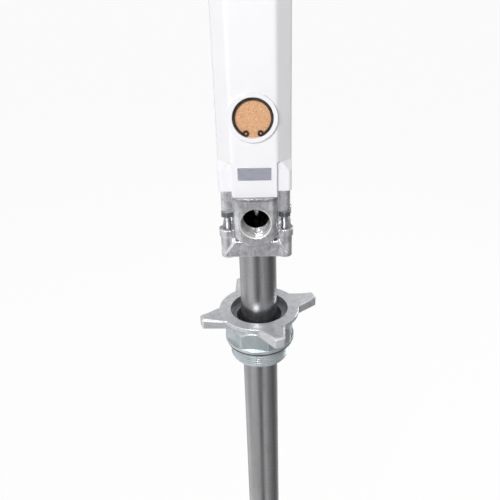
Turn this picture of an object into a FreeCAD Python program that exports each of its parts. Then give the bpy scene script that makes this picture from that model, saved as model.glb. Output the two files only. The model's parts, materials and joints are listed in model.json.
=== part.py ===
import FreeCAD, Part
import Sketcher
import math
import os
import re

# Pneumatic drum oil pump: a two inch air motor above a die-cast outlet, a long suction tube with
# a piston pump at its foot, and a screwed adapter that clamps the tube at any depth in a two inch
# bung.
# Millimetres. +Z up along the tube, front (outlet and silencer) towards -Y, +X to the right of
# someone who faces the outlet. z = 0 is the face that the adapter's gasket seats on.

Vec = FreeCAD.Vector
doc = FreeCAD.newDocument("OilPump")
sheet = doc.addObject("Spreadsheet::Sheet", "Sizes")
# Driving dimensions, by piece. Each is one cell of the sheet under its own alias.
sizes = {
    # Fits shared by all pieces: a running fit, a loose one, and the lift of a part above its seat.
    "running_gap": 0.05,
    "loose_gap": 0.3,
    "seat_gap": 0.1,
    "tap_depth_spare": 3,
    # Bung adapter: a two inch pipe thread below an octagon, sealed by a flat gasket.
    "bung_thread_radius": 29.8,
    "bung_thread_reach": 18,
    "bung_thread_chamfer": 1.5,
    "bung_thread_relief": 1,
    "gasket_radius": 34,
    "gasket_thickness": 2,
    "gasket_play": 0.4,
    "washer_face_radius": 34.8,
    "washer_face_thickness": 3,
    "octagon_flats": 64.4,
    "octagon_height": 20,
    "octagon_corner_angle": 15,
    "octagon_chamfer_inset": 1,
    "octagon_chamfer_reach": 4,
    "octagon_chamfer_drop": 3,
    "adapter_bore_gap": 0.9,
    "adapter_floor": 4,
    # Clamp inside the adapter: a rubber ring round the tube, a thrust washer and the star nut.
    "nut_thread_radius": 27,
    "grip_ring_height": 7,
    "thrust_washer_thickness": 2,
    "thrust_washer_gap": 0.6,
    "nut_spigot_bore": 22.5,
    "nut_spigot_length": 12.4,
    "nut_well_depth": 7,
    "nut_hub_radius": 33.5,
    "nut_hub_height": 5.6,
    "nut_rim_radius": 39.7,
    "nut_rim_thickness": 4,
    "nut_mouth_radius": 28.4,
    "arm_thickness": 8,
    "arm_root_radius": 34,
    "arm_tip_radius": 60,
    "arm_root_width": 29,
    "arm_tip_width": 9.5,
    "arm_tip_lift": 2.5,
    "arm_angle": 20,
    "arm_bevel": 1.6,
    "arm_tip_round": 2,
    # Suction tube and its place: how far it runs below the casting and how deep it is screwed in.
    "tube_radius": 17.8,
    "tube_wall": 1.8,
    "tube_length": 934,
    "tube_socket_depth": 18,
    "tube_ring_thickness": 2.4,
    "casting_bottom": 108.5,
    # Outlet casting: heights are counted from its underside.
    "block_half_width": 31.5,
    "block_half_depth": 27.5,
    "block_height": 20,
    "block_corner_round": 6,
    "ear_radius": 7.6,
    "ear_height": 7,
    "ear_column_radius": 6.6,
    "tie_x": 25.2,
    "tie_y": 24,
    "core_radius": 22.5,
    "web_front": 33,
    "web_half_base": 28.5,
    "web_half_top": 18,
    "web_base_rise": 3.5,
    "web_height": 19,
    "web_bevel_angle": 35,
    "port_rise": 36.5,
    "port_face": 38,
    "port_block_half_width": 19.7,
    "port_boss_radius": 22.5,
    "port_minor_radius": 12.06,
    "port_mouth_radius": 14,
    "port_side_round": 5,
    "port_face_round": 2.5,
    "chamber_radius": 19.2,
    "chamber_roof_above_port": 13,
    "tube_stop_height": 2,
    "roof_thickness": 3,
    "roof_hole_radius": 7.5,
    "flange_thickness": 16,
    "flange_half_width": 30.2,
    "flange_half_depth": 28,
    "flange_corner_round": 5,
    "corner_pad_height": 4,
    "corner_pad_inner_x": 19.9,
    "corner_pad_inner_y": 15,
    # Oil gland on top of the casting.
    "gland_depth": 7,
    "gland_bore_radius": 12,
    "packing_height": 4,
    "gland_nut_flats": 26,
    "gland_nut_head": 7,
    "gland_bush_radius": 9,
    "gland_bush_inset": 1,
    "motor_ring_radius": 18.5,
    "motor_ring_width": 2,
    # Tie bolts and their nuts.
    "tie_bolt_radius": 3,
    "tie_bolt_length": 68,
    "tie_head_radius": 5,
    "tie_head_height": 6,
    "tie_head_recess": 7,
    "tie_clear_gap": 0.3,
    "screw_socket_flats": 5,
    "screw_socket_depth": 3,
    "tie_nut_flats": 10,
    "tie_nut_height": 5,
    # Air motor housing: heights are counted from its underside on the casting.
    "housing_half_width": 31.3,
    "housing_column_front": 30,
    "pilaster_half_width": 18.8,
    "pilaster_front": 34,
    "housing_height": 204,
    "runout_rise": 30,
    "runout_length": 11,
    "pilaster_round": 6,
    "side_round": 5,
    "column_round": 4,
    "exhaust_rise": 68.5,
    "silencer_boss_radius": 20,
    "silencer_boss_front": 36.6,
    "silencer_bore_radius": 16.6,
    "silencer_seat_radius": 14,
    "silencer_seat_depth": 8,
    "silencer_chamber_back": 16,
    "inlet_boss_radius": 13,
    "inlet_boss_back": 41,
    "inlet_minor_radius": 5.72,
    "inlet_depth": 12,
    "inlet_passage_radius": 4,
    "cylinder_radius": 25,
    "cylinder_floor": 90,
    "rod_passage_radius": 7.5,
    "gland_recess_radius": 16,
    "gland_recess_height": 10,
    "guide_radius": 12,
    "guide_recess_depth": 12,
    "air_drill_radius": 2,
    "exhaust_drill_radius": 2,
    "top_drill_x": 9,
    "top_drill_y": 29.8,
    "tie_tap_depth": 17.5,
    "cap_screw_place": 22.4,
    # Silencer disc, circlip and the plain plate on the front.
    "silencer_disc_thickness": 5,
    "circlip_thickness": 1.3,
    "circlip_width": 3,
    "circlip_taper": 0.5,
    "circlip_groove_depth": 0.8,
    "circlip_gap_angle": 50,
    "circlip_lug_radius": 2.5,
    "circlip_lug_hole": 1,
    "circlip_lug_reach": 3.2,
    "plate_width": 28,
    "plate_height": 11,
    "plate_thickness": 0.5,
    "plate_rise": 21,
    # Reversing valve across the back of the housing.
    "valve_back": 20.5,
    "sleeve_radius": 8,
    "sleeve_half_length": 21,
    "spool_radius": 5,
    "spool_waist_radius": 3.4,
    "spool_end_land": 7.5,
    "spool_waist_length": 6.1,
    "spool_middle_land": 6.8,
    "spool_travel": 5.75,
    "port_pitch": 5.75,
    "sleeve_port_radius": 1.7,
    "plug_radius": 9.5,
    "plug_inset": 0.6,
    "plug_socket_flats": 8,
    "plug_socket_depth": 5,
    # Air piston, rod and the guide under the cylinder.
    "stroke": 80,
    "piston_height": 20,
    "piston_seal_height": 6,
    "piston_seal_depth": 3.5,
    "piston_nut_recess": 9,
    "piston_nut_recess_radius": 10.6,
    "piston_nut_flats": 17,
    "piston_nut_height": 8,
    "rod_radius": 6,
    "rod_stub_radius": 5,
    "guide_height": 9,
    "bumper_height": 2.2,
    "bumper_inner_radius": 14,
    "bumper_outer_radius": 18,
    # Top cap with its screws.
    "cap_height": 22,
    "cap_spigot_length": 6,
    "cap_spigot_bore": 19,
    "cap_ring_height": 2.5,
    "cap_ring_depth": 1.9,
    "cap_edge": 3,
    "cap_screw_radius": 3,
    "cap_screw_length": 36,
    "cap_screw_head_radius": 5,
    "cap_screw_head_height": 6,
    "cap_screw_head_recess": 7,
    # Rod coupling and the pump at the foot of the tube.
    "coupling_top": 76,
    "coupling_length": 26,
    "coupling_flats": 17,
    "coupling_grip": 12,
    "pump_rod_radius": 5,
    "pump_rod_grip": 14,
    "pump_piston_height": 42,
    "pump_piston_gap": 0.4,
    "pump_piston_rise": 4,
    "pump_seal_rise": 12,
    "pump_seal_height": 8,
    "pump_seal_depth": 2,
    "pump_seat_radius": 5,
    "pump_seat_rise": 5,
    "pump_ball_radius": 7.5,
    "pump_ball_lift": 4,
    "pump_cage_radius": 10.5,
    "pump_flow_hole_radius": 2.6,
    "pump_flow_hole_place": 9.5,
    "foot_collar_height": 10,
    "foot_spigot_height": 29.5,
    "foot_seat_radius": 6,
    "foot_seat_rise": 4,
    "foot_ball_radius": 9.5,
    "foot_ball_lift": 3.5,
    "foot_cage_radius": 12,
    "foot_pin_radius": 1.5,
    "strainer_height": 14,
    "strainer_wall": 2,
    "strainer_hole_radius": 6,
    "strainer_slot_width": 4.5,
    "strainer_slot_height": 8,
    "strainer_slots": 6,
}
for row, (alias, size) in enumerate(sizes.items(), 1):
    sheet.set(f"A{row}", alias)
    sheet.set(f"B{row}", str(size))
    sheet.setAlias(f"B{row}", alias)
doc.recompute()


def ballRise(seat_radius, seat_rise, ball_radius):
    """Height of a ball's centre when it lies in a 45 degree seat above a bore."""
    return f"{seat_rise} - {seat_radius} + ({ball_radius} + seat_gap) * sqrt(2)"


# What several pieces share, as formulas of the sizes. Heights end in bottom, top, floor or height
# when they count from z = 0, and in rise when they count from the foot of their own piece.
shared = {
    "tube_bore": "tube_radius - tube_wall",
    "tube_bottom": "casting_bottom + tube_socket_depth - tube_length",
    "chamber_roof_rise": "port_rise + chamber_roof_above_port",
    "casting_length": "chamber_roof_rise + roof_thickness + gland_depth",
    "flange_rise": "casting_length - flange_thickness",
    "casting_top": "casting_bottom + casting_length",
    "gland_floor": "casting_bottom + chamber_roof_rise + roof_thickness",
    "gland_spigot_length": "gland_depth - packing_height",
    "gland_bush_length": "gland_spigot_length + gland_nut_head - gland_bush_inset",
    "housing_top": "casting_top + housing_height",
    "cylinder_bottom": "casting_top + cylinder_floor",
    "exhaust_height": "casting_top + exhaust_rise",
    "air_piston_bottom": "cylinder_bottom + bumper_height + loose_gap",
    "nut_bottom": "adapter_floor + grip_ring_height + thrust_washer_thickness",
    "pump_piston_bottom": "tube_bottom + foot_spigot_height + pump_piston_rise",
    "pump_ball_rise": ballRise("pump_seat_radius", "pump_seat_rise", "pump_ball_radius"),
    "foot_ball_rise": ballRise("foot_seat_radius", "foot_seat_rise", "foot_ball_radius"),
    "foot_pin_rise": "foot_ball_rise + foot_ball_radius + foot_ball_lift + seat_gap + foot_pin_radius",
}


def expr(text):
    """A formula with each shared name written out and each size turned into its cell of the sheet."""
    def term(word):
        name = word[0]
        if name in shared:
            return f"({expr(shared[name])})"
        return f"Sizes.{name}" if name in sizes else name
    return re.sub(r"[a-z][a-z_]*", term, text)


def newBody(label, turn=None, x="0", y="0", z="0"):
    """A body with its own label, turned if asked and placed by formulas."""
    body = doc.addObject("PartDesign::Body", label)
    body.Label = label
    if turn:
        body.Placement = FreeCAD.Placement(Vec(), turn)
    for direction, place in (("x", x), ("y", y), ("z", z)):
        body.setExpression(f".Placement.Base.{direction}", expr(place))
    return body


def newSketch(body, name, plane, lift="0"):
    """An empty sketch on one of the body's own origin planes, lifted along its normal."""
    sketch = body.newObject("Sketcher::SketchObject", name)
    support = [item for item in body.Origin.OriginFeatures if item.Role == plane][0]
    sketch.AttachmentSupport = [(support, "")]
    sketch.MapMode = "FlatFace"
    sketch.setExpression("AttachmentOffset.Base.z", expr(lift))
    return sketch


def pin(sketch, geometry, end, x, y):
    """Holds one point of the sketch at formulas for its two distances from the origin."""
    for kind, formula in (("DistanceX", x), ("DistanceY", y)):
        number = sketch.addConstraint(Sketcher.Constraint(kind, -1, 1, geometry, end, 1.0))
        sketch.setExpression(f"Constraints[{number}]", expr(formula))


def addOutline(sketch, corners):
    """A closed outline of straight lines through corners given as formulas."""
    first = sketch.GeometryCount
    count = len(corners)
    ring = [Vec(math.cos(2 * math.pi * n / count), math.sin(2 * math.pi * n / count)) for n in range(count)]
    for n in range(count):
        sketch.addGeometry(Part.LineSegment(ring[n], ring[(n + 1) % count]), False)
    for n in range(count):
        after = first + (n + 1) % count
        sketch.addConstraint(Sketcher.Constraint("Coincident", first + n, 2, after, 1))
    for n, (x, y) in enumerate(corners):
        pin(sketch, first + n, 1, x, y)


def addCircle(sketch, x, y, radius):
    """A circle whose centre and radius are formulas."""
    number = sketch.addGeometry(Part.Circle(Vec(), Vec(0, 0, 1), 1), False)
    pin(sketch, number, 3, x, y)
    rule = sketch.addConstraint(Sketcher.Constraint("Radius", number, 1.0))
    sketch.setExpression(f"Constraints[{rule}]", expr(radius))


def addBox(sketch, left, low, right, high):
    """A rectangle between formulas for its four sides."""
    addOutline(sketch, [(left, low), (right, low), (right, high), (left, high)])


def addHexagon(sketch, flats, turn=0, x="0", y="0"):
    """A hexagon of a given width across its flats."""
    reach = f"({flats}) / 2 / cos(30)"
    angles = [turn + 60 * n for n in range(6)]
    addOutline(sketch, [(f"{x} + {reach} * cos({a})", f"{y} + {reach} * sin({a})") for a in angles])


def addFeature(kind, sketch, grows, **settings):
    body = sketch.getParentGeoFeatureGroup()
    volume = body.Shape.Volume if not body.Shape.isNull() else 0
    feature = body.newObject(f"PartDesign::{kind}", f"{sketch.Name}{kind}")
    feature.Profile = sketch
    for name, value in settings.items():
        if isinstance(value, str) and name in ("Length", "TaperAngle"):
            feature.setExpression(name, expr(value))
        else:
            setattr(feature, name, value)
    sketch.Visibility = False
    doc.recompute()
    change = body.Shape.Volume - volume
    if (change > 0) != grows:
        raise RuntimeError(f"{feature.Name} in {body.Label} changed the volume by {change:.3f}")
    return feature


def pad(sketch, length, **settings):
    return addFeature("Pad", sketch, True, Length=length, **settings)


def pocket(sketch, depth=None, **settings):
    if depth is None:
        return addFeature("Pocket", sketch, False, Type="ThroughAll", **settings)
    return addFeature("Pocket", sketch, False, Length=depth, **settings)


def revolve(sketch):
    return addFeature("Revolution", sketch, True, ReferenceAxis=(sketch, ["V_Axis"]))


def groove(sketch):
    return addFeature("Groove", sketch, False, ReferenceAxis=(sketch, ["V_Axis"]))


def polarPattern(feature, sketch, count):
    body = feature.getParentGeoFeatureGroup()
    pattern = body.newObject("PartDesign::PolarPattern", f"{feature.Name}Pattern")
    pattern.Originals = [feature]
    pattern.Axis = (sketch, ["N_Axis"])
    pattern.Angle = 360
    pattern.Occurrences = count
    body.Tip = pattern
    doc.recompute()
    return pattern


def dress(kind, body, size, test):
    """Rounds or bevels the edges of a body's last feature that pass a test on their bounds."""
    base = body.Tip
    shape = base.Shape
    names = [f"Edge{n + 1}" for n, edge in enumerate(shape.Edges) if test(edge, edge.BoundBox)]
    if not names:
        raise RuntimeError(f"no edge to {kind} on {body.Label}")
    feature = body.newObject(f"PartDesign::{kind}", f"{body.Label}{kind}{len(body.Group)}")
    feature.Base = (base, names)
    feature.setExpression("Radius" if kind == "Fillet" else "Size", expr(size))
    doc.recompute()
    if feature.Shape.isNull() or not feature.Shape.isValid():
        raise RuntimeError(f"{feature.Name} failed")
    return feature


def near(value, target):
    return abs(value - target) < 0.01


def upright(box):
    """True for the bounds of an edge that runs along Z."""
    return box.XLength < 0.01 and box.YLength < 0.01


def turned(label, corners, **place):
    """A turned piece: its half section as (radius, height) formulas."""
    body = newBody(label, **place)
    sketch = newSketch(body, f"{label}_section", "XZ_Plane")
    addOutline(sketch, corners)
    revolve(sketch)
    return body


def ring(label, inner, outer, height, **place):
    return turned(label, [(inner, "0"), (outer, "0"), (outer, height), (inner, height)], **place)


def cutSection(body, name, corners):
    """Turns a half section out of a body."""
    sketch = newSketch(body, name, "XZ_Plane")
    addOutline(sketch, corners)
    return groove(sketch)


def fourCorners(x, y):
    return [(f"{a} * ({x})", f"{b} * ({y})") for a in (-1, 1) for b in (-1, 1)]


def circleSketch(body, name, plane, circles, lift="0"):
    sketch = newSketch(body, name, plane, lift)
    for circle in circles:
        addCircle(sketch, *circle)
    return sketch


def boxSketch(body, name, plane, boxes, lift="0"):
    sketch = newSketch(body, name, plane, lift)
    for box in boxes:
        addBox(sketch, *box)
    return sketch


def addOctagon(sketch):
    """The housing's section: flat pilasters front and rear, 45 degree chamfers and flat sides."""
    face, front, wide = "pilaster_half_width", "pilaster_front", "housing_half_width"
    side = "(pilaster_half_width + pilaster_front - housing_half_width)"
    quarter = [(face, front), (wide, side)]
    right = [(x, f"0 - {y}") for x, y in quarter] + [(x, y) for x, y in reversed(quarter)]
    addOutline(sketch, right + [(f"0 - {x}", y) for x, y in reversed(right)])


towards_front = FreeCAD.Rotation(Vec(1, 0, 0), 90)
towards_right = FreeCAD.Rotation(Vec(0, 1, 0), 90)


def makeGasket():
    return ring("bung_gasket", "bung_thread_radius + gasket_play", "gasket_radius", "gasket_thickness")


def makeAdapterBody():
    """Octagon, washer face and pipe thread in one turned piece, bored for the clamp and the tube."""
    body = newBody("adapter_body")
    octagon = newSketch(body, "adapter_octagon", "XY_Plane", "gasket_thickness + washer_face_thickness")
    reach = "octagon_flats / 2 / cos(22.5)"
    angles = [f"octagon_corner_angle - 90 + {45 * n}" for n in range(8)]
    addOutline(octagon, [(f"{reach} * cos({a})", f"{reach} * sin({a})") for a in angles])
    pad(octagon, "octagon_height")
    seat = "gasket_thickness"
    face = "gasket_thickness + washer_face_thickness"
    low = "0 - bung_thread_reach"
    stub = newSketch(body, "adapter_stub", "XZ_Plane")
    addOutline(stub, [
        ("0", f"{low} - bung_thread_chamfer"),
        ("bung_thread_radius - bung_thread_chamfer", f"{low} - bung_thread_chamfer"),
        ("bung_thread_radius", low),
        ("bung_thread_radius", "0"),
        ("bung_thread_radius - bung_thread_relief", "0"),
        ("bung_thread_radius - bung_thread_relief", seat),
        ("washer_face_radius", seat),
        ("washer_face_radius", face),
        ("0", face),
    ])
    revolve(stub)
    top = "(gasket_thickness + washer_face_thickness + octagon_height)"
    cutSection(body, "adapter_top_chamfer", [
        ("octagon_flats / 2 - octagon_chamfer_inset", top),
        ("octagon_flats / 2 + octagon_chamfer_reach", f"{top} - octagon_chamfer_drop"),
        ("octagon_flats / 2 + octagon_chamfer_reach", top),
    ])
    bore = "tube_radius + adapter_bore_gap"
    cutSection(body, "adapter_bore", [
        ("0", f"{low} - bung_thread_chamfer - 1"),
        (bore, f"{low} - bung_thread_chamfer - 1"),
        (bore, "adapter_floor"),
        ("nut_thread_radius", "adapter_floor"),
        ("nut_thread_radius", f"{top} + 1"),
        ("0", f"{top} + 1"),
    ])
    return body


def makeGripRing():
    inner = "tube_radius + running_gap"
    outer = "nut_thread_radius - loose_gap"
    return ring("grip_ring", inner, outer, "grip_ring_height", z="adapter_floor")


def makeThrustWasher():
    inner = "tube_radius + thrust_washer_gap"
    outer = "nut_thread_radius - loose_gap"
    return ring("thrust_washer", inner, outer, "thrust_washer_thickness",
                z="adapter_floor + grip_ring_height")


def makeStarNut():
    """Threaded spigot, hub and rim in one turned piece with four tapered, bevelled arms."""
    spigot = "nut_thread_radius - running_gap"
    under = "nut_spigot_length + nut_hub_height"
    top = "(nut_spigot_length + nut_hub_height + nut_rim_thickness)"
    turn = FreeCAD.Rotation(Vec(0, 0, 1), sheet.arm_angle)
    body = turned("star_nut", [
        ("nut_spigot_bore", "0"),
        (spigot, "0"),
        (spigot, "nut_spigot_length"),
        ("nut_hub_radius", "nut_spigot_length"),
        ("nut_hub_radius", under),
        ("nut_rim_radius", under),
        ("nut_rim_radius", top),
        ("nut_mouth_radius", top),
        ("nut_mouth_radius", f"{top} - nut_well_depth"),
        ("nut_spigot_bore", f"{top} - nut_well_depth"),
    ], z="nut_bottom", turn=turn)
    arm = newSketch(body, "nut_arm", "XY_Plane", f"{top} - arm_thickness")
    inside = "(nut_mouth_radius + nut_hub_radius) / 2"
    addOutline(arm, [
        (inside, "0 - arm_root_width / 2"),
        ("arm_root_radius", "0 - arm_root_width / 2"),
        ("arm_tip_radius", "0 - arm_tip_width / 2"),
        ("arm_tip_radius", "arm_tip_width / 2"),
        ("arm_root_radius", "arm_root_width / 2"),
        (inside, "arm_root_width / 2"),
    ])
    polarPattern(pad(arm, "arm_thickness + arm_tip_lift"), arm, 4)
    slope = newSketch(body, "arm_slope", "XZ_Plane")
    addOutline(slope, [
        ("0", top),
        ("nut_rim_radius", top),
        ("arm_tip_radius + 1", f"{top} + arm_tip_lift"),
        ("arm_tip_radius + 1", f"{top} + arm_tip_lift + 1"),
        ("0", f"{top} + arm_tip_lift + 1"),
    ])
    polarPattern(pocket(slope, "arm_root_width + 1", Midplane=True), arm, 4)
    tip = sheet.arm_tip_radius
    dress("Fillet", body, "arm_tip_round",
          lambda edge, box: upright(box) and math.hypot(box.XMin, box.YMin) > tip - 0.1)
    height = sheet.nut_spigot_length + sheet.nut_hub_height + sheet.nut_rim_thickness
    dress("Chamfer", body, "arm_bevel",
          lambda edge, box: box.ZMin > height - 0.01 and box.ZMax > height + 0.2)
    return body


def makeOutletBody():
    """Die casting: lower block with four bolt ears, front web, bored core, port block and top flange."""
    body = newBody("outlet_body", z="casting_bottom")
    boss = circleSketch(body, "port_boss", "XZ_Plane", [("0", "port_rise", "port_boss_radius")])
    pad(boss, "port_face")
    side = "port_block_half_width"
    past = "port_boss_radius + 1"
    low = "port_rise - port_boss_radius - 1"
    high = "port_rise + port_boss_radius + 1"
    trim = boxSketch(body, "port_sides", "XZ_Plane", [
        (side, low, past, high),
        (f"0 - ({past})", low, f"0 - {side}", high),
    ])
    pocket(trim, "port_face + 1", Reversed=True)
    neck = boxSketch(body, "port_neck", "XZ_Plane", [(f"0 - {side}", "port_rise", side, "casting_length")])
    pad(neck, "port_face")
    front, rise, flat = sheet.port_face, sheet.port_rise, sheet.port_block_half_width
    dress("Fillet", body, "port_side_round",
          lambda edge, box: (near(abs(box.XMin), flat) and near(box.XMin, box.XMax)
                             and near(box.ZMin, box.ZMax) and box.ZMin < rise and near(box.YMin, -front)))
    dress("Fillet", body, "port_face_round",
          lambda edge, box: near(box.YMax, -front) and near(box.YMin, -front) and box.ZMin < rise + 1)
    pad(circleSketch(body, "core", "XY_Plane", [("0", "0", "core_radius")]), "casting_length")
    wide, deep = "block_half_width", "block_half_depth"
    pad(boxSketch(body, "block", "XY_Plane", [(f"0 - {wide}", f"0 - {deep}", wide, deep)]), "block_height")
    dress("Fillet", body, "block_corner_round",
          lambda edge, box: upright(box) and near(abs(box.XMin), sheet.block_half_width))
    columns = [(x, y, "ear_column_radius") for x, y in fourCorners("tie_x", "tie_y")]
    pad(circleSketch(body, "ear_columns", "XY_Plane", columns), "block_height")
    ears = [(x, y, "ear_radius") for x, y in fourCorners("tie_x", "tie_y")]
    pad(circleSketch(body, "ears", "XY_Plane", ears, "block_height"), "ear_height")
    web = newSketch(body, "front_web", "XZ_Plane", "block_half_depth")
    addOutline(web, [
        ("0 - web_half_base", "0"),
        ("web_half_base", "0"),
        ("web_half_base", "web_base_rise"),
        ("web_half_top", "web_height"),
        ("0 - web_half_top", "web_height"),
        ("0 - web_half_base", "web_base_rise"),
    ])
    pad(web, "web_front - block_half_depth", TaperAngle="0 - web_bevel_angle")
    wide, deep = "flange_half_width", "flange_half_depth"
    flange = boxSketch(body, "flange", "XY_Plane", [
        (f"0 - {wide}", f"0 - {deep}", wide, deep),
    ], "flange_rise")
    pad(flange, "casting_length - flange_rise + corner_pad_height")
    dress("Fillet", body, "flange_corner_round",
          lambda edge, box: upright(box) and near(abs(box.XMin), sheet.flange_half_width))
    inner_x, inner_y = "corner_pad_inner_x", "corner_pad_inner_y"
    lengthwise = boxSketch(body, "pad_gap_along", "XY_Plane", [
        (f"0 - {inner_x}", f"0 - {deep} - 1", inner_x, f"{deep} + 1"),
    ], "casting_length")
    pocket(lengthwise, "corner_pad_height + 1", Reversed=True)
    crosswise = boxSketch(body, "pad_gap_across", "XY_Plane", [
        (f"0 - {wide} - 1", f"0 - {inner_y}", f"{wide} + 1", inner_y),
    ], "casting_length")
    pocket(crosswise, "corner_pad_height + 1", Reversed=True)
    cutSection(body, "core_bore", [
        ("0", "0 - 1"),
        ("tube_radius + running_gap", "0 - 1"),
        ("tube_radius + running_gap", "tube_socket_depth"),
        ("tube_bore", "tube_socket_depth"),
        ("tube_bore", "tube_socket_depth + tube_stop_height"),
        ("chamber_radius", "tube_socket_depth + tube_stop_height"),
        ("chamber_radius", "chamber_roof_rise"),
        ("roof_hole_radius", "chamber_roof_rise"),
        ("roof_hole_radius", "chamber_roof_rise + roof_thickness"),
        ("gland_bore_radius", "chamber_roof_rise + roof_thickness"),
        ("gland_bore_radius", "casting_length + 1"),
        ("0", "casting_length + 1"),
    ])
    ring_low = "tube_socket_depth / 2"
    cutSection(body, "tube_ring_groove", [
        ("tube_radius", ring_low),
        ("tube_radius + tube_ring_thickness", ring_low),
        ("tube_radius + tube_ring_thickness", f"{ring_low} + tube_ring_thickness"),
        ("tube_radius", f"{ring_low} + tube_ring_thickness"),
    ])
    cutSection(body, "motor_ring_groove", [
        ("motor_ring_radius - motor_ring_width", "casting_length - motor_ring_width"),
        ("motor_ring_radius", "casting_length - motor_ring_width"),
        ("motor_ring_radius", "casting_length + 1"),
        ("motor_ring_radius - motor_ring_width", "casting_length + 1"),
    ])
    port = circleSketch(body, "outlet_port", "XZ_Plane", [("0", "port_rise", "port_minor_radius")])
    pocket(port, "port_face + 1", Reversed=True)
    minor = sheet.port_minor_radius
    dress("Chamfer", body, "port_mouth_radius - port_minor_radius",
          lambda edge, box: near(box.YMax, -front) and near(box.ZMax, rise + minor))
    holes = [(x, y, "tie_bolt_radius + tie_clear_gap") for x, y in fourCorners("tie_x", "tie_y")]
    pocket(circleSketch(body, "tie_holes", "XY_Plane", holes), Reversed=True)
    recesses = [(x, y, "tie_head_radius + tie_clear_gap") for x, y in fourCorners("tie_x", "tie_y")]
    pocket(circleSketch(body, "tie_head_recesses", "XY_Plane", recesses), "tie_head_recess", Reversed=True)
    return body


def makeTube():
    return ring("pump_tube", "tube_bore", "tube_radius", "tube_length", z="tube_bottom")


def makeTubeRing():
    inner = "tube_radius + running_gap"
    outer = "tube_radius + tube_ring_thickness - running_gap"
    return ring("tube_o_ring", inner, outer, "tube_ring_thickness",
                z="casting_bottom + tube_socket_depth / 2")


def makeGlandPacking():
    inner = "rod_radius + running_gap"
    outer = "gland_bore_radius - running_gap"
    return ring("gland_packing", inner, outer, "packing_height", z="gland_floor")


def makeGlandNut():
    """Hexagon above a turned spigot, bored for the bronze bush."""
    body = newBody("gland_nut", z="gland_floor + packing_height")
    stub = circleSketch(body, "gland_spigot", "XY_Plane", [("0", "0", "gland_bore_radius - running_gap")])
    pad(stub, "gland_spigot_length")
    head = newSketch(body, "gland_hexagon", "XY_Plane", "gland_spigot_length")
    addHexagon(head, "gland_nut_flats")
    pad(head, "gland_nut_head")
    bore = circleSketch(body, "gland_bore", "XY_Plane", [("0", "0", "gland_bush_radius + running_gap")])
    pocket(bore, Reversed=True)
    return body


def makeGlandBush():
    inner = "rod_radius + running_gap"
    return ring("gland_bush", inner, "gland_bush_radius", "gland_bush_length",
                z="gland_floor + packing_height")


def makeMotorRing():
    inner = "motor_ring_radius - motor_ring_width + running_gap"
    outer = "motor_ring_radius - running_gap"
    return ring("motor_o_ring", inner, outer, "motor_ring_width", z="casting_top - motor_ring_width")


def primitive(kind, label, x="0", y="0", z="0", turn=None, **measures):
    """A Part primitive whose sizes and place are formulas, turned if asked."""
    item = doc.addObject(f"Part::{kind}", label)
    if turn:
        item.Placement = FreeCAD.Placement(Vec(), turn)
    for name, formula in measures.items():
        item.setExpression(name, expr(formula))
    for direction, place in (("x", x), ("y", y), ("z", z)):
        item.setExpression(f".Placement.Base.{direction}", expr(place))
    return item


def joined(kind, label, items):
    """A boolean or a group of separate solids made of other objects."""
    item = doc.addObject(f"Part::{kind}", label)
    if kind == "Cut":
        item.Base, item.Tool = items
    elif kind == "Compound":
        item.Links = items
    else:
        item.Shapes = items
    item.Label = label
    return item


def hexPrism(label, flats, height, x, y, z, turn=None):
    item = primitive("Prism", label, x, y, z, turn, Circumradius=f"({flats}) / 2 / cos(30)", Height=height)
    item.Polygon = 6
    return item


def socketScrew(label, x, y, head_low, head_radius, head_height,
                shank_radius, shank_low, shank_length, socket_low):
    """Head and shank as one solid, with a hexagon socket in the head's outer face."""
    head = primitive("Cylinder", f"{label}_head", x, y, head_low, Radius=head_radius, Height=head_height)
    shank = primitive("Cylinder", f"{label}_shank", x, y, shank_low, Radius=shank_radius, Height=shank_length)
    blank = joined("MultiFuse", f"{label}_blank", [head, shank])
    socket = hexPrism(f"{label}_socket", "screw_socket_flats", "screw_socket_depth", x, y, socket_low)
    return joined("Cut", label, [blank, socket])


def makeTieBolts():
    """Four long socket screws up through the ears and the flange into the housing's columns."""
    bolts = []
    head_low = "casting_bottom + tie_head_recess - tie_head_height"
    for number, (x, y) in enumerate(fourCorners("tie_x", "tie_y")):
        bolts.append(socketScrew(
            f"tie_bolt_{number + 1}", x, y, head_low, "tie_head_radius", "tie_head_height",
            "tie_bolt_radius", "casting_bottom + tie_head_recess", "tie_bolt_length", head_low))
    return joined("Compound", "tie_bolts", bolts)


def makeTieNuts():
    nuts = []
    low = "casting_bottom + flange_rise - tie_nut_height"
    for number, (x, y) in enumerate(fourCorners("tie_x", "tie_y")):
        blank = hexPrism(f"tie_nut_blank_{number + 1}", "tie_nut_flats", "tie_nut_height", x, y, low,
                         turn=FreeCAD.Rotation(Vec(0, 0, 1), 30))
        hole = primitive("Cylinder", f"tie_nut_hole_{number + 1}", x, y, low,
                         Radius="tie_bolt_radius + running_gap", Height="tie_nut_height")
        nuts.append(joined("Cut", f"tie_nut_{number + 1}", [blank, hole]))
    return joined("Compound", "tie_nuts", nuts)


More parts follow.
